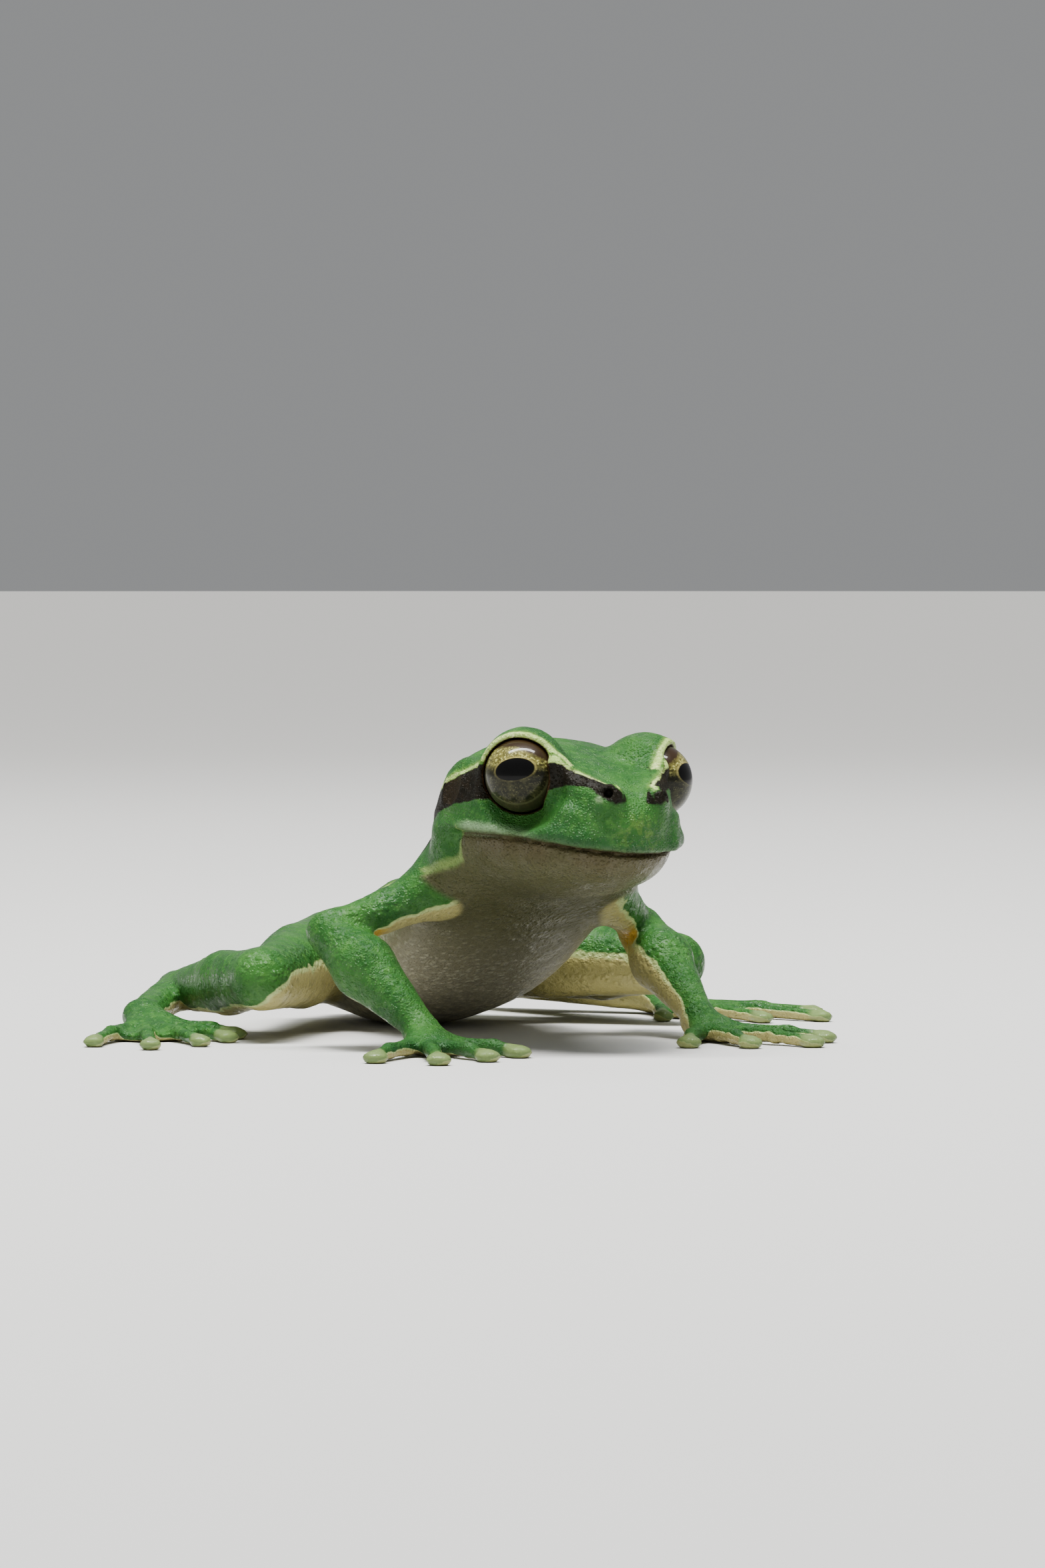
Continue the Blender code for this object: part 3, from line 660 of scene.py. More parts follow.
# How far out from the midline the side markings start, by how far ahead.
MARK_AHEAD = (-6.0, 1.5, 2.5, 3.6, 4.6, 5.4, 6.0)
MARK_ASIDE = (1.5, 2.2, 2.55, 2.1, 1.5, 0.85, 0.4)
# Height of the border between green and belly along the neck and flank.
BELLY_BACK = (3.0, 3.5, 4.2, 7.9, 12.0, 14.0, 20.0, 27.0, 34.0)
BELLY_UP = (12.5, 11.2, 10.9, 9.9, 7.8, 6.7, 4.8, 3.4, 2.8)


def body_path(rows):
    """Rows of back, up and half height, with the places in the head's ahead and up."""
    return tuple((*head_coords(0.0, back, up)[1:], half) for back, up, half in rows)


def along_path(ahead, up, path):
    """Signed height over a path, plain distance from it, and its half height there."""
    best = np.full(ahead.shape, FAR)
    over, half = np.zeros(ahead.shape), np.zeros(ahead.shape)
    for (a0, u0, h0), (a1, u1, h1) in zip(path, path[1:]):
        da, du = a1 - a0, u1 - u0
        t = np.clip(((ahead - a0) * da + (up - u0) * du) / (da * da + du * du), 0.0, 1.0)
        pa, pu = ahead - a0 - t * da, up - u0 - t * du
        distance = np.sqrt(pa * pa + pu * pu)
        sign = np.where(pu * -da + pa * du > 0.0, 1.0, -1.0)
        nearer = distance < best
        best = np.where(nearer, distance, best)
        over = np.where(nearer, distance * sign, over)
        half = np.where(nearer, h0 + (h1 - h0) * t, half)
    return over, best, half


def limb_lines(side):
    """The lines that the limbs of one side run along, with their thickness."""
    lines = [(SHOULDER[side], ELBOW[side], 1.5), (ELBOW[side], WRIST[side], 1.6),
             (HIP[side], KNEE[side], 2.6), (KNEE[side], HEEL[side], 1.8), (HEEL[side], BALL[side], 1.2)]
    for start, digits in ((WRIST[side], hand_digits(side)), (BALL[side], foot_digits(side))):
        for root, knuckle, tip in digits:
            lines += [(start, root, 0.9), (root, knuckle, 0.6), (knuckle, tip, 0.6)]
    return lines


def distance_to(points, lines):
    x, y, z = points.T
    near = np.full(len(points), FAR)
    for a, b, thick in lines:
        dx, dy, dz, _ = segment_distance(x, y, z, a, b)
        near = np.minimum(near, np.sqrt(dx * dx + dy * dy + dz * dz) - thick)
    return near


def brow_closeness(points, field, lower=0.0, widen=0.0, first=0, last=None):
    """Positive on the pale brow line, or on a line beside it a little lower down the side."""
    near = np.full(len(points), FAR)
    for sign in (-1.0, 1.0):
        into = -(HEAD_ASIDE * sign + HEAD_UP).normalized()
        aside = (HEAD_ASIDE * sign - HEAD_UP).normalized() * lower
        rows = BROW_LINE[first:last]
        line = [field.press(head_point(sign * a, f, u) + aside - into * 2.5, into) for a, f, u, _ in rows]
        parts = [(p, q, row[3] + widen) for p, q, row in zip(line, line[1:], rows)]
        near = np.minimum(near, distance_to(points, parts))
    return -near


def dark_stripe(points, field, dark, flank):
    """Positive on the dark stripe, and on the dark skin beside the brow line and the nostril."""
    stripe = np.minimum(dark, flank)
    for lower, first, last in ((0.26, 1, 7), (0.50, 2, 7), (0.42, 5, None)):
        stripe = np.maximum(stripe, brow_closeness(points, field, lower, 0.15, first, last))
    return np.maximum(stripe, near_nostrils(points, -0.05, 0.50, -0.12, 0.55))


def pale_rim(points, field, ahead, over, dark, flank):
    """Positive on the pale line over the stripe, along the brow and round the upper lid."""
    width = np.interp(ahead, (-20.0, -12.0), (0.08, 0.13))
    rim = np.minimum(width - np.abs(dark + 0.11), flank)
    rim = np.where((over < 0.0) | (ahead > -1.7), -1.0, rim)
    return np.maximum.reduce([rim, brow_closeness(points, field), lid_edge(points)])


def markings(points, normals, field):
    """Signed distances in millimetres, positive inside each marking."""
    x, y, z = points.T
    lean = np.clip((9.0 - y) / 5.0, 0.0, 1.0)
    _, ahead, up = head_coords(x * lean, y, z)      # without the head's tilt behind the neck
    aside = x - np.interp(y, TRUNK_LINE, TRUNK_SMOOTH[4])
    body = np.minimum(head_shape(x, y, z), trunk_shape(x, y, z))
    limb = body - distance_to(points, limb_lines("R") + limb_lines("L"))
    over, near, half = along_path(ahead, up, STRIPE_HEAD + body_path(STRIPE_BODY))
    _, loop_near, loop_half = along_path(ahead, up, body_path(GROIN_LOOP))
    flank = np.minimum(-limb - 0.2, np.abs(aside) - np.interp(ahead, MARK_AHEAD, MARK_ASIDE))
    dark = np.maximum(half - near, loop_half - loop_near)
    mouth = up - mouth_level(ahead)
    belly = np.where(ahead > -2.6, -mouth, np.interp(y, BELLY_BACK, BELLY_UP) - z)
    border = np.where(ahead > -2.5, -1.0, 0.26 - np.abs(belly + 0.16))
    lip = 0.16 + 0.22 * np.exp(-((ahead + 1.4) / 2.4) ** 2) - np.abs(mouth - 0.34)
    outward = np.where(x > 0, 1.0, -1.0)
    under = -(normals[:, 2] * 0.75 + normals[:, 0] * outward * 0.65 - normals[:, 1] * 0.05)
    tips = [tip for side in "RL" for _, _, tip in hand_digits(side) + foot_digits(side)]
    eyes = [eye_centre(sign) for sign in (-1.0, 1.0)]
    ears = [on_side(field, sign, *EAR) for sign in (-1.0, 1.0)]
    elbows = [elbow + inner * 1.9 for elbow, inner, _ in (elbow_bend(side) for side in "RL")]
    return {"stripe": dark_stripe(points, field, dark, flank),
            "rim": pale_rim(points, field, ahead, over, dark, flank),
            "belly": belly, "border": np.minimum(border, -limb - 0.2),
            "lip": np.minimum(lip, (ahead + 2.9) * 0.6),
            "limb": limb, "under": under, "ahead": ahead, "mouth": mouth,
            "pads": ball_closeness(points, tips, 0.95),
            "elbow": ball_closeness(points, elbows, 1.7),
            "lid": ball_closeness(points, eyes, EYE_RADIUS + 0.15),
            "ear": ball_closeness(points, ears, EAR_RADIUS),
            "nostril": near_nostrils(points, 0.35, 0.25, 0.05, 0.46),
            # pale skin below each nostril, partly a painted highlight
            "nostril_pale_and_glint": near_nostrils(points, 0.55, 0.16, -0.36, 0.38)}


def lid_edge(points):
    """The pale band along the rim of the upper lid, at an angle from where the opening looks."""
    best = np.full(len(points), -1.0)
    for sign in (-1.0, 1.0):
        off = points - np.array(eye_centre(sign))
        far = np.linalg.norm(off, axis=1)
        angle = np.arccos(np.clip(off @ np.array(opening_direction(sign)) / far, -1, 1))
        height = off @ np.array(HEAD_UP) / far
        band = np.minimum(0.22 - np.abs(angle - math.radians(79)) * far, (height - 0.25) * 1.5)
        best = np.maximum(best, np.where(far < 3.4, band, -1.0))
    return best


def ball_closeness(points, centres, radius):
    """Positive inside any of some balls of one size."""
    near = [np.linalg.norm(points - np.array(c), axis=1) for c in centres]
    return radius - np.minimum.reduce(near)


def near_nostrils(points, aside, ahead, up, radius):
    """Positive inside a ball placed from each nostril, further out, ahead and up."""
    spots = [nostril_point(sign, aside, ahead, up) for sign in (-1.0, 1.0)]
    return ball_closeness(points, spots, radius)


# ---------------------------------------------------------------- materials

GREEN = (0.053, 0.158, 0.037)
GREEN_LIGHT = (0.092, 0.222, 0.054)
GREEN_DARK = (0.026, 0.100, 0.024)
# deeper green, used as painted shade low on the cheeks
GREEN_CHEEK_SHADE = (0.023, 0.084, 0.026)
MUZZLE = (0.210, 0.270, 0.065)
STRIPE_BROWN = (0.010, 0.009, 0.005)
STRIPE_WARM = (0.018, 0.013, 0.007)
CREAM = (0.59, 0.66, 0.32)
CREAM_GREEN = (0.36, 0.50, 0.16)
YELLOW_GREEN = (0.185, 0.310, 0.070)
LIP_PALE = (0.25, 0.37, 0.21)
# pale skin by the nostril, lightened as a painted highlight on its rim
NOSTRIL_PALE_AND_GLINT = (0.42, 0.50, 0.33)
BORDER_PALE = (0.27, 0.35, 0.13)
# the throat's own olive grey, made darker as painted shade
THROAT_GREY_AND_SHADE = (0.096, 0.099, 0.047)
THROAT_BROWN = (0.098, 0.072, 0.036)
LIP_BROWN = (0.085, 0.080, 0.042)
BELLY_WHITE = (0.55, 0.52, 0.40)
BELLY_SHADE = (0.115, 0.105, 0.055)
INNER_LIMB = (0.44, 0.40, 0.18)
ORANGE = (0.52, 0.33, 0.05)
PAD_TONE = (0.24, 0.30, 0.13)
LID_EDGE = (0.060, 0.032, 0.012)
EAR_TONE = (0.048, 0.032, 0.015)
IRIS_SHADE, IRIS_GOLD, IRIS_FLECK = (0.058, 0.052, 0.016), (0.215, 0.200, 0.062), (0.46, 0.45, 0.17)
LOW_SHADE, LOW_OLIVE, LOW_FLECK = (0.012, 0.012, 0.006), (0.055, 0.054, 0.024), (0.11, 0.105, 0.050)
# the eye's own brown under the upper lid, also used as the lid's painted shadow
IRIS_BROWN_AND_LID_SHADOW = (0.035, 0.020, 0.009)
RING_GOLD = (0.46, 0.40, 0.16)
LOW_LID, LOW_LID_LINE = (0.050, 0.052, 0.026), (0.13, 0.135, 0.07)
PUPIL_BLACK = (0.002, 0.002, 0.002)
FLOOR_TONE = (0.58, 0.58, 0.57)
SKY_TONE = (0.80, 0.81, 0.82)
SKY_STRENGTH = 0.33
WET_IOR = 1.36
GRAIN_HEIGHT = 0.00009              # of the skin's bump, in metres


class Shader:
    """Short ways to add and join the nodes of one material."""

    def __init__(self, name):
        self.material = bpy.data.materials.new(name)
        self.material.use_nodes = True
        self.tree = self.material.node_tree
        self.surface = self.tree.nodes["Principled BSDF"]

    def node(self, kind, sockets=None, **settings):
        made = self.tree.nodes.new(kind)
        for name, value in settings.items():
            setattr(made, name, value)
        for name, value in (sockets or {}).items():
            self.feed(value, made.inputs[name])
        return made

    def feed(self, value, socket):
        if isinstance(value, bpy.types.NodeSocket):
            self.tree.links.new(value, socket)
        elif socket.type == "RGBA":
            socket.default_value = (*value, 1.0)
        else:
            socket.default_value = value

    def attribute(self, name, output="Fac"):
        return self.node("ShaderNodeAttribute", attribute_name=name).outputs[output]

    def math(self, operation, a, b=0.0):
        return self.node("ShaderNodeMath", {0: a, 1: b}, operation=operation).outputs[0]

    def times(self, first, *others):
        """The product of two or more values."""
        for value in others:
            first = self.math("MULTIPLY", first, value)
        return first

    def plus(self, a, b):
        return self.math("ADD", a, b)

    def ramp(self, value, low, high, start=0.0, end=1.0):
        """A smooth step as the value goes from low to high."""
        sockets = dict(enumerate((value, low, high, start, end)))
        return self.node("ShaderNodeMapRange", sockets, interpolation_type="SMOOTHSTEP").outputs[0]

    def blend(self, share, a, b):
        return self.node("ShaderNodeMix", {0: share, 6: a, 7: b}, data_type="RGBA").outputs[2]

    def place(self):
        """The object's own place, in millimetres."""
        sockets = {0: self.node("ShaderNodeTexCoord").outputs["Object"], "Scale": 1.0 / MM}
        return self.node("ShaderNodeVectorMath", sockets, operation="SCALE").outputs[0]

    def noise(self, where, scale, detail=3.0, roughness=0.55):
        sockets = {"Vector": where, "Scale": scale, "Detail": detail, "Roughness": roughness}
        return self.node("ShaderNodeTexNoise", sockets).outputs["Fac"]

    def cells(self, where, scale):
        """Rounded grains: 0 at each grain's middle."""
        return self.node("ShaderNodeTexVoronoi", {"Vector": where, "Scale": scale}).outputs["Distance"]

    def set(self, **values):
        for name, value in values.items():
            self.feed(value, self.surface.inputs[name.replace("_", " ")])

    def bump(self, height, distance):
        sockets = {"Height": height, "Distance": distance, "Strength": 1.0}
        normal = self.node("ShaderNodeBump", sockets).outputs[0]
        self.set(Normal=normal, Coat_Normal=normal)


class Skin(Shader):
    """The skin's shader, with the patterns and measures that its tones share."""

    def __init__(self):
        super().__init__("frog_skin")
        self.where = where = self.place()
        self.broad = self.noise(where, 0.35, 3.0)
        self.fine = self.noise(where, 2.6, 4.0)
        self.tiny = self.noise(where, 8.0, 3.0)
        self.grain = self.cells(where, 6.0)
        self.belly_grain = self.cells(where, 2.4)
        self.ahead = self.attribute("ahead")
        self.mouth = self.attribute("mouth")
        self.wobble = self.sway(self.fine, 0.30)

    def sway(self, pattern, size):
        """The pattern made to swing to either side of 0."""
        return self.times(self.plus(pattern, -0.5), size)

    def edged(self, name, soft=0.10, shift=0.0, jitter=None):
        """1 inside a marking and 0 outside, with an uneven edge."""
        value = self.plus(self.attribute(name), jitter or self.wobble)
        return self.ramp(value, shift - soft, shift + soft)


def green_tone(s):
    """Mottled leaf green, yellower on the muzzle, with deeper green low on the cheeks as painted shade.
    """
    tone = s.blend(s.ramp(s.broad, 0.35, 0.68), GREEN_DARK, GREEN)
    tone = s.blend(s.ramp(s.fine, 0.46, 0.82, 0.0, 0.8), tone, GREEN_LIGHT)
    tone = s.blend(s.ramp(s.grain, 0.10, 0.55, 0.30, 0.0), tone, GREEN_LIGHT)
    muzzle = s.times(s.ramp(s.ahead, 5.9, 6.7), s.ramp(s.fine, 0.42, 0.64), 0.35)
    # painted shade: deeper green in patches low on the cheek, toward the mouth and ahead of the eye
    cheek_shade = s.times(s.ramp(s.mouth, 1.6, 0.3), s.ramp(s.ahead, 0.0, 3.0),
                    s.ramp(s.broad, 0.3, 0.6, 0.9, 0.45))
    return s.blend(cheek_shade, s.blend(muzzle, tone, MUZZLE), GREEN_CHEEK_SHADE)


def underside_tone(s):
    """A pale grained belly that turns olive grey on the throat and browner on the chin, darkened over the
    chest and throat partly as painted shade.
    """
    # darker from the belly forward over the chest to the throat: partly the throat's own grey, partly
    # painted shade
    tone = s.blend(s.ramp(s.ahead, -15.0, -5.0), BELLY_WHITE, THROAT_GREY_AND_SHADE)
    tone = s.blend(s.ramp(s.belly_grain, 0.2, 0.65, 0.0, 0.35), tone, BELLY_SHADE)
    tone = s.blend(s.ramp(s.tiny, 0.35, 0.70, 0.0, 0.35), tone, BELLY_SHADE)
    chin = s.times(s.ramp(s.mouth, -2.2, -0.3, 0.0, 0.6), s.ramp(s.broad, 0.35, 0.6, 0.5, 1.0))
    return s.blend(s.times(chin, s.ramp(s.ahead, -3.0, 0.0)), tone, THROAT_BROWN)


def limb_tone(s, green):
    """Green above and pale below, orange in the elbow's bend, with paler pads."""
    under = s.plus(s.attribute("under"), s.sway(s.noise(s.where, 0.7, 1.0), 0.35))
    inner = s.blend(s.ramp(s.attribute("elbow"), -0.6, 0.9), INNER_LIMB, ORANGE)
    tone = s.blend(s.ramp(under, 0.26, 0.40), green, inner)
    edge_line = s.times(s.ramp(under, 0.20, 0.27), s.ramp(under, 0.42, 0.32), 0.75)
    tone = s.blend(edge_line, tone, CREAM)
    return s.blend(s.times(s.edged("pads", 0.25), 0.7), tone, PAD_TONE)


def trunk_tone(s, green):
    """Green over the underside, with the pale lip and the pale border between the two."""
    tone = s.blend(s.edged("belly", 0.10), green, underside_tone(s))
    corner = s.ramp(s.ahead, -2.8, -1.8)
    share = s.times(s.ramp(s.ahead, 4.0, -1.0, 0.10, 0.90), corner)
    tone = s.blend(s.times(s.edged("lip", 0.22), share), tone, LIP_PALE)
    tone = s.blend(s.times(s.edged("border", 0.20), 0.8), tone, BORDER_PALE)
    edge = s.ramp(s.plus(s.mouth, s.wobble), 0.42, 0.06)
    edge = s.times(edge, corner, s.ramp(s.mouth, -0.06, 0.02, 0.0, 0.75))
    return s.blend(edge, tone, LIP_BROWN)


def stripe_share(s):
    """The share of the dark stripe, more frayed toward the groin."""
    frayed = s.sway(s.noise(s.where, 1.1, 4.0), s.ramp(s.ahead, -4.0, -12.0, 0.35, 1.5))
    return s.edged("stripe", 0.06, 0.0, frayed)


def add_lines(s, colour, stripe):
    """The dark stripe, and the pale line along it with its soft outer border."""
    brown = s.blend(s.ramp(s.fine, 0.35, 0.75), STRIPE_BROWN, STRIPE_WARM)
    brown = s.blend(s.ramp(s.attribute("ear"), 0.0, 0.15, 0.0, 0.30), brown, EAR_TONE)
    colour = s.blend(stripe, colour, brown)
    halo = s.times(s.edged("rim", 0.18, -0.16), s.ramp(stripe, 0.6, 0.0))
    colour = s.blend(s.times(halo, 0.65), colour, YELLOW_GREEN)
    mottle = s.ramp(s.plus(s.tiny, s.times(s.broad, 0.6)), 0.72, 1.02)
    return s.blend(s.edged("rim", 0.07), colour, s.blend(mottle, CREAM_GREEN, CREAM))


def add_openings(s, colour):
    """The pale skin by the nostrils, lightened partly as a painted highlight, the nostrils, the lids'
    dark edge and the mouth's line.
    """
    # pale skin by each nostril, partly a painted highlight on its rim
    nostril_pale_and_glint = s.ramp(s.plus(s.attribute("nostril_pale_and_glint"), s.wobble), -0.1, 0.25)
    colour = s.blend(s.times(nostril_pale_and_glint, 0.75), colour, NOSTRIL_PALE_AND_GLINT)
    colour = s.blend(s.ramp(s.attribute("nostril"), 0.0, 0.12), colour, STRIPE_BROWN)
    colour = s.blend(s.ramp(s.attribute("lid"), -0.05, 0.06), colour, LID_EDGE)
    slit = s.times(s.ramp(s.mouth, -0.13, -0.03), s.ramp(s.mouth, 0.10, 0.02))
    return s.blend(s.times(slit, s.ramp(s.ahead, -2.9, -2.4), 0.55), colour, LID_EDGE)


def add_relief(s):
    """Small grains, calmer behind the head and on the pads, and larger ones on the belly."""
    small = s.ramp(s.grain, 0.0, 0.55, 1.0, 0.0)
    coarse = s.times(s.ramp(s.belly_grain, 0.0, 0.6, 1.0, 0.0), s.edged("belly", 0.3),
                     s.ramp(s.ahead, -8.0, -3.0, 1.0, 0.3))
    height = s.plus(s.times(small, 0.6), s.times(coarse, 1.5))
    height = s.plus(height, s.times(s.tiny, 0.7))
    calm = s.ramp(s.ahead, -9.0, -3.5, 0.5, 1.0)
    off_pads = s.ramp(s.attribute("pads"), -0.3, 0.2, 1.0, 0.25)
    s.bump(s.times(height, calm, off_pads), GRAIN_HEIGHT)


def wetness(s, stripe):
    """How wet the skin is: in patches, and less on the dark stripe."""
    patches = s.ramp(s.noise(s.where, 0.9, 2.0), 0.42, 0.60, 0.20, 0.70)
    return s.times(patches, s.ramp(stripe, 0.0, 1.0, 1.0, 0.4))


def skin_material():
    s = Skin()
    green, stripe = green_tone(s), stripe_share(s)
    colour = s.blend(s.ramp(s.attribute("limb"), -0.3, 0.3), trunk_tone(s, green), limb_tone(s, green))
    add_relief(s)
    s.set(Base_Color=add_openings(s, add_lines(s, colour, stripe)),
          Roughness=s.ramp(s.fine, 0.3, 0.7, 0.36, 0.52), Specular_IOR_Level=0.2,
          Coat_Weight=wetness(s, stripe), Coat_Roughness=0.10, Coat_IOR=WET_IOR,
          Subsurface_Weight=0.08, Subsurface_Scale=0.0006, Subsurface_Radius=(0.9, 0.8, 0.4))
    return s.material


def iris_tone(s, high, streak):
    """Gold with flecks above, olive below, and brown over the top: partly the eye's own brown, partly a
    painted shadow of the upper lid that reaches lower at the front.
    """
    fleck = s.noise(s.attribute("iris_ray", "Vector"), 16.0, 3.0)
    gold = s.blend(s.ramp(streak, 0.36, 0.62), IRIS_SHADE, IRIS_GOLD)
    gold = s.blend(s.ramp(fleck, 0.50, 0.66), gold, IRIS_FLECK)
    low = s.blend(s.ramp(streak, 0.38, 0.66), LOW_SHADE, LOW_OLIVE)
    low = s.blend(s.ramp(fleck, 0.56, 0.72), low, LOW_FLECK)
    iris = s.blend(s.ramp(s.plus(high, s.times(streak, 0.2)), 0.40, 0.05), gold, low)
    # painted shadow of the upper lid: the brown reaches lower toward the front of the eye
    front = s.times(s.math("MAXIMUM", s.attribute("iris_front"), 0.0), 0.45)
    shade = s.plus(s.plus(high, front), s.times(streak, 0.16))
    return s.blend(s.ramp(shade, 0.64, 0.76), iris, IRIS_BROWN_AND_LID_SHADOW)


def eye_material():
    """A dark sideways pupil in a ringed iris, the edge of the lower lid, and a wet cornea."""
    s = Shader("frog_eye")
    high, pupil, rim = (s.attribute(n) for n in ("iris_up", "pupil", "iris_rim"))
    streak = s.noise(s.attribute("iris_ray", "Vector"), 5.0, 6.0, 0.75)
    colour = iris_tone(s, high, streak)
    ring = s.times(s.ramp(pupil, 0.98, 1.03), s.ramp(pupil, 1.16, 1.05))
    colour = s.blend(s.times(ring, s.ramp(high, -0.3, 0.25, 0.06, 0.45)), colour, RING_GOLD)
    below = s.ramp(high, 0.25, -0.05)
    lid = s.times(s.ramp(rim, 0.85, 0.88), below, s.ramp(streak, 0.3, 0.7, 0.75, 0.35))
    colour = s.blend(lid, colour, LOW_LID)
    line = s.times(s.ramp(rim, 0.835, 0.855), s.ramp(rim, 0.895, 0.87), below, 0.4)
    colour = s.blend(line, colour, LOW_LID_LINE)
    s.set(Base_Color=s.blend(s.ramp(pupil, 1.03, 0.96), colour, PUPIL_BLACK),
          Roughness=0.35, Specular_IOR_Level=0.2, Coat_Weight=s.ramp(high, -0.45, 0.15, 0.45, 0.9),
          Coat_Roughness=0.02, Coat_IOR=WET_IOR)
    return s.material


def floor_material():
    s = Shader("floor")
    s.set(Base_Color=FLOOR_TONE, Roughness=0.95, Specular_IOR_Level=0.1)
    return s.material


# ---------------------------------------------------------------- objects

def frame_shift():
    """From the frog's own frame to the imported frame, found from where the eye nodes lie."""
    total = Vector((0, 0, 0))
    for name, sign in (("eye_R", -1.0), ("eye_L", 1.0)):
        low, high = (Vector(v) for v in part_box(name))
        total += (low + high) * 0.5 - eye_centre(sign) * MM
    return total * 0.5


def new_mesh(name, points, faces, material):
    mesh = bpy.data.meshes.new(name)
    mesh.from_pydata([tuple(p) for p in points], [], [tuple(int(i) for i in f) for f in faces])
    mesh.materials.append(material)
    mesh.shade_smooth()
    made = bpy.data.objects.new(name, mesh)
    bpy.context.collection.objects.link(made)
    return made


def add_values(made, name, values, kind="FLOAT"):
    layer = made.data.attributes.new(name, kind, "POINT")
    layer.data.foreach_set("value" if kind == "FLOAT" else "vector",
                           np.asarray(values, dtype=np.float32).ravel())


def roughen(points, normals):
    """Low swellings and dimples over the skin, a few hundredths of a millimetre high."""
    rise = np.array([noise.noise(Vector(p) * 1.1) * 0.03 + noise.noise(Vector(p) * 3.1) * 0.014
                     for p in points])
    calm = np.clip(points[:, 2] / 0.8, 0.0, 1.0)
    return points + normals * ((rise - 0.03) * calm)[:, None]


def fit_inside(points, shift):
    """Draw the outline in by the last hundredths of a millimetre, to the CAD pieces' box."""
    low, high = ((np.array(v) - np.array(shift)) / MM for v in CAD_BOX)
    middle = (low + high) * 0.5
    room = (high - low) * 0.5 - 0.02
    reach = np.abs(points - middle).max(axis=0)
    scale = np.minimum(room / reach, 1.0)
    scale[2] = 1.0
    return middle + (points - middle) * scale


def build_skin(shift):
    field = detailed_frog()
    points, faces = surface(field)
    points = relax(points, faces, 2, 1.0)
    points = relax(points, faces, 8, limb_share(points))
    normals = vertex_normals(points, faces)
    points = roughen(points, normals)
    points[:, 2] = np.maximum(points[:, 2], 0.0)
    points = fit_inside(points, shift)
    normals = vertex_normals(points, faces)
    values = markings(points, normals, field)
    skin = new_mesh("skin", points * MM + np.array(shift), faces, skin_material())
    for name, value in values.items():
        add_values(skin, name, value)
    return skin


def ball_faces(rings, parts):
    """Faces of a ball of rings between two poles, its points counted from pole to pole."""
    last = 1 + (rings - 1) * parts
    faces = []
    for j in range(parts):
        k = (j + 1) % parts
        faces.append((0, 1 + j, 1 + k))
        for first in range(1, last - parts, parts):
            faces.append((first + j, first + parts + j, first + parts + k, first + k))
        faces.append((last - parts + k, last - parts + j, last))
    return faces


def build_eye(side, shift, material):
    """A ball in rings round the way the eye looks, with its places on the iris kept."""
    sign = OUT[side]
    look = Vector((sign * math.sin(PUPIL_TURN), -math.cos(PUPIL_TURN), math.tan(PUPIL_LIFT)))
    look.normalize()
    up = (Vector((0, 0, 1)) - look * look.z).normalized()
    rear = up.cross(look) * sign
    centre = eye_centre(sign)
    points, places = [], []
    for i in range(EYE_RINGS + 1):
        theta = math.pi * i / EYE_RINGS
        for j in range(EYE_PARTS if 0 < i < EYE_RINGS else 1):
            phi = 2 * math.pi * j / EYE_PARTS
            u, v = math.sin(theta) * math.cos(phi), math.sin(theta) * math.sin(phi)
            direction = rear * u + up * v + look * math.cos(theta)
            points.append((centre + direction * (EYE_RADIUS - 0.01)) * MM + shift)
            places.append((u, v, theta))
    eye = new_mesh("eyeball_" + side, points, ball_faces(EYE_RINGS, EYE_PARTS), material)
    if sign < 0:
        eye.data.flip_normals()
    across, high, theta = np.array(places).T
    c, s = math.cos(PUPIL_TILT), math.sin(PUPIL_TILT)
    a, h = across * c - high * s, across * s + high * c
    back = np.where(theta > math.pi / 2, 1.0, 0.0)      # the pupil shows only on the front half
    add_values(eye, "pupil", np.hypot(a / PUPIL_HALF[0], h / PUPIL_HALF[1]) + back * FAR)
    add_values(eye, "iris_up", high)
    add_values(eye, "iris_front", -across)
    add_values(eye, "iris_rim", np.hypot(across, high) + back)
    rays = np.stack([across * 1.1, high * 1.1, theta * 0.35], axis=1)
    add_values(eye, "iris_ray", rays, "FLOAT_VECTOR")
    return eye


# ---------------------------------------------------------------- stage

VIEW_AZIMUTH = math.radians(-29)
VIEW_ELEVATION = math.radians(2)
VIEW_DISTANCE = 0.40
LENS = 157.0
SENSOR = 36.0
FLOOR_RADIUS = 4.0
EYES_ASIDE, EYES_ABOVE = 3.90, 0.37     # the eyes' midpoint from the middle of the frame, in mm


def build_camera(shift):
    a, e = VIEW_AZIMUTH, VIEW_ELEVATION
    back = Vector((math.sin(a) * math.cos(e), -math.cos(a) * math.cos(e), math.sin(e)))
    right = Vector((math.cos(a), math.sin(a), 0))
    up = back.cross(right)
    target = head_point(0, 0, 0) * MM + shift - (right * EYES_ASIDE + up * EYES_ABOVE) * MM
    data = bpy.data.cameras.new("camera")
    data.lens, data.sensor_fit, data.sensor_height = LENS, "VERTICAL", SENSOR
    data.clip_start, data.clip_end = 0.01, 20.0
    camera = bpy.data.objects.new("camera", data)
    camera.matrix_world = Matrix.Translation(target + back * VIEW_DISTANCE) @ \
        Matrix((right, up, back)).transposed().to_4x4()
    bpy.context.collection.objects.link(camera)
    bpy.context.scene.camera = camera


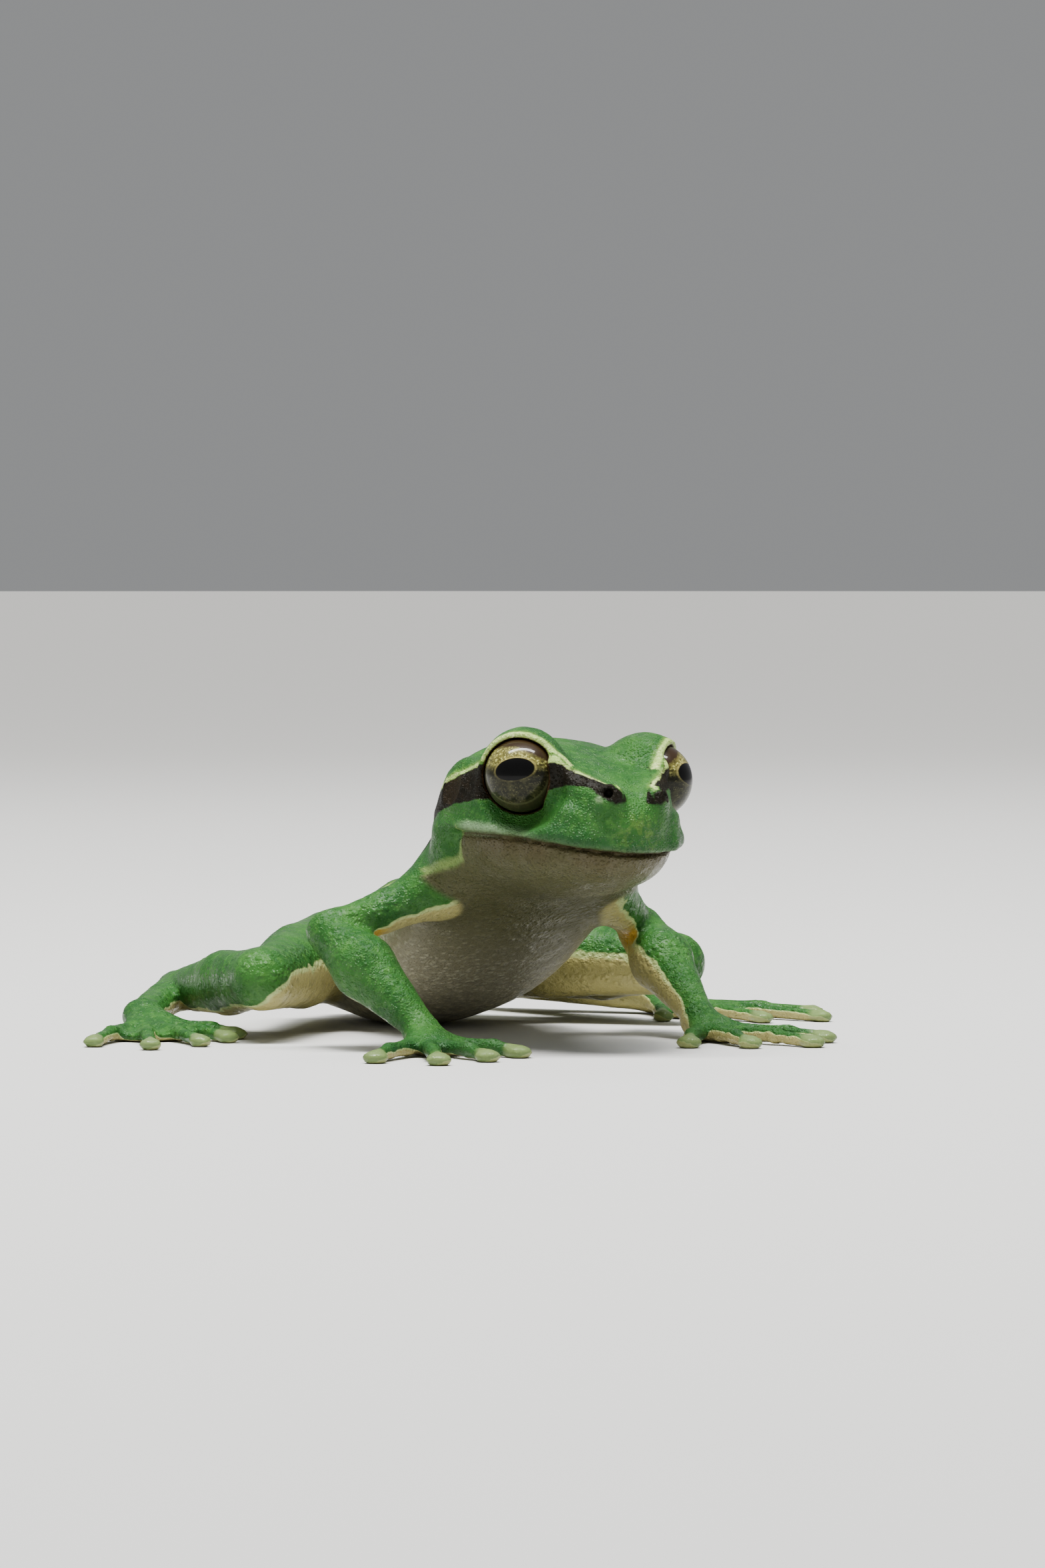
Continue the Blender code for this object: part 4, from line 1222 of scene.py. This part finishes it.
def add_lamp(name, kind, turn, place_at=(0, 0, 0), glossy=False, **settings):
    """A lamp turned by a rotation matrix, with its settings; only a glossy one shows in reflections."""
    data = bpy.data.lights.new(name, kind)
    for key, value in settings.items():
        setattr(data, key, value)
    lamp = bpy.data.objects.new(name, data)
    lamp.matrix_world = Matrix.Translation(place_at) @ turn.to_4x4()
    lamp.visible_glossy = glossy
    bpy.context.collection.objects.link(lamp)


def build_lamps():
    """An even sun, a long soft box lying across the camera's view, and two weak round lamps."""
    head = Vector((0.0, -0.012, 0.012))
    sun = Vector((-0.12, -0.16, 1.0)).to_track_quat("Z", "Y").to_matrix()
    add_lamp("key", "SUN", sun, angle=math.radians(20), energy=2.7, color=(1.0, 0.98, 0.95))
    box = Vector((-0.02, -0.02, 0.40))
    down = (box - head).normalized()
    across = down.cross(Vector((math.cos(VIEW_AZIMUTH), math.sin(VIEW_AZIMUTH), 0))).normalized()
    turn = Matrix((across.cross(down), across, down)).transposed()
    add_lamp("strip", "AREA", turn, box, True, shape="RECTANGLE", size=0.44, size_y=0.06, energy=2.1)
    for name, spot, size, power, colour in (
            ("fill", Vector((-0.30, -0.36, 0.16)), 0.30, 0.40, (0.96, 0.98, 1.0)),
            ("back", Vector((0.16, 0.30, 0.30)), 0.20, 0.30, (1.0, 1.0, 1.0))):
        turn = (head - spot).to_track_quat("-Z", "Y").to_matrix()
        add_lamp(name, "AREA", turn, spot, shape="DISK", size=size, energy=power, color=colour)


def build_stage():
    circle = [2 * math.pi * i / 64 for i in range(64)]
    rim = [(FLOOR_RADIUS * math.cos(a), FLOOR_RADIUS * math.sin(a), 0.0) for a in circle]
    new_mesh("floor", rim, [range(len(rim))], floor_material())
    build_lamps()
    world = bpy.data.worlds.new("studio")
    world.use_nodes = True
    background = world.node_tree.nodes["Background"].inputs
    background["Color"].default_value = (*SKY_TONE, 1.0)
    background["Strength"].default_value = SKY_STRENGTH
    bpy.context.scene.world = world
    bpy.context.scene.view_settings.look = "AgX - Medium High Contrast"


def main():
    shift = frame_shift()
    skin = build_skin(shift)
    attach(skin, "root")
    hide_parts(*[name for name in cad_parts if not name.startswith("eye_")])
    eyes = eye_material()
    for side in "RL":
        eye = build_eye(side, shift, eyes)
        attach(eye, "root")
        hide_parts("eye_" + side)
    build_stage()
    build_camera(shift)


main()
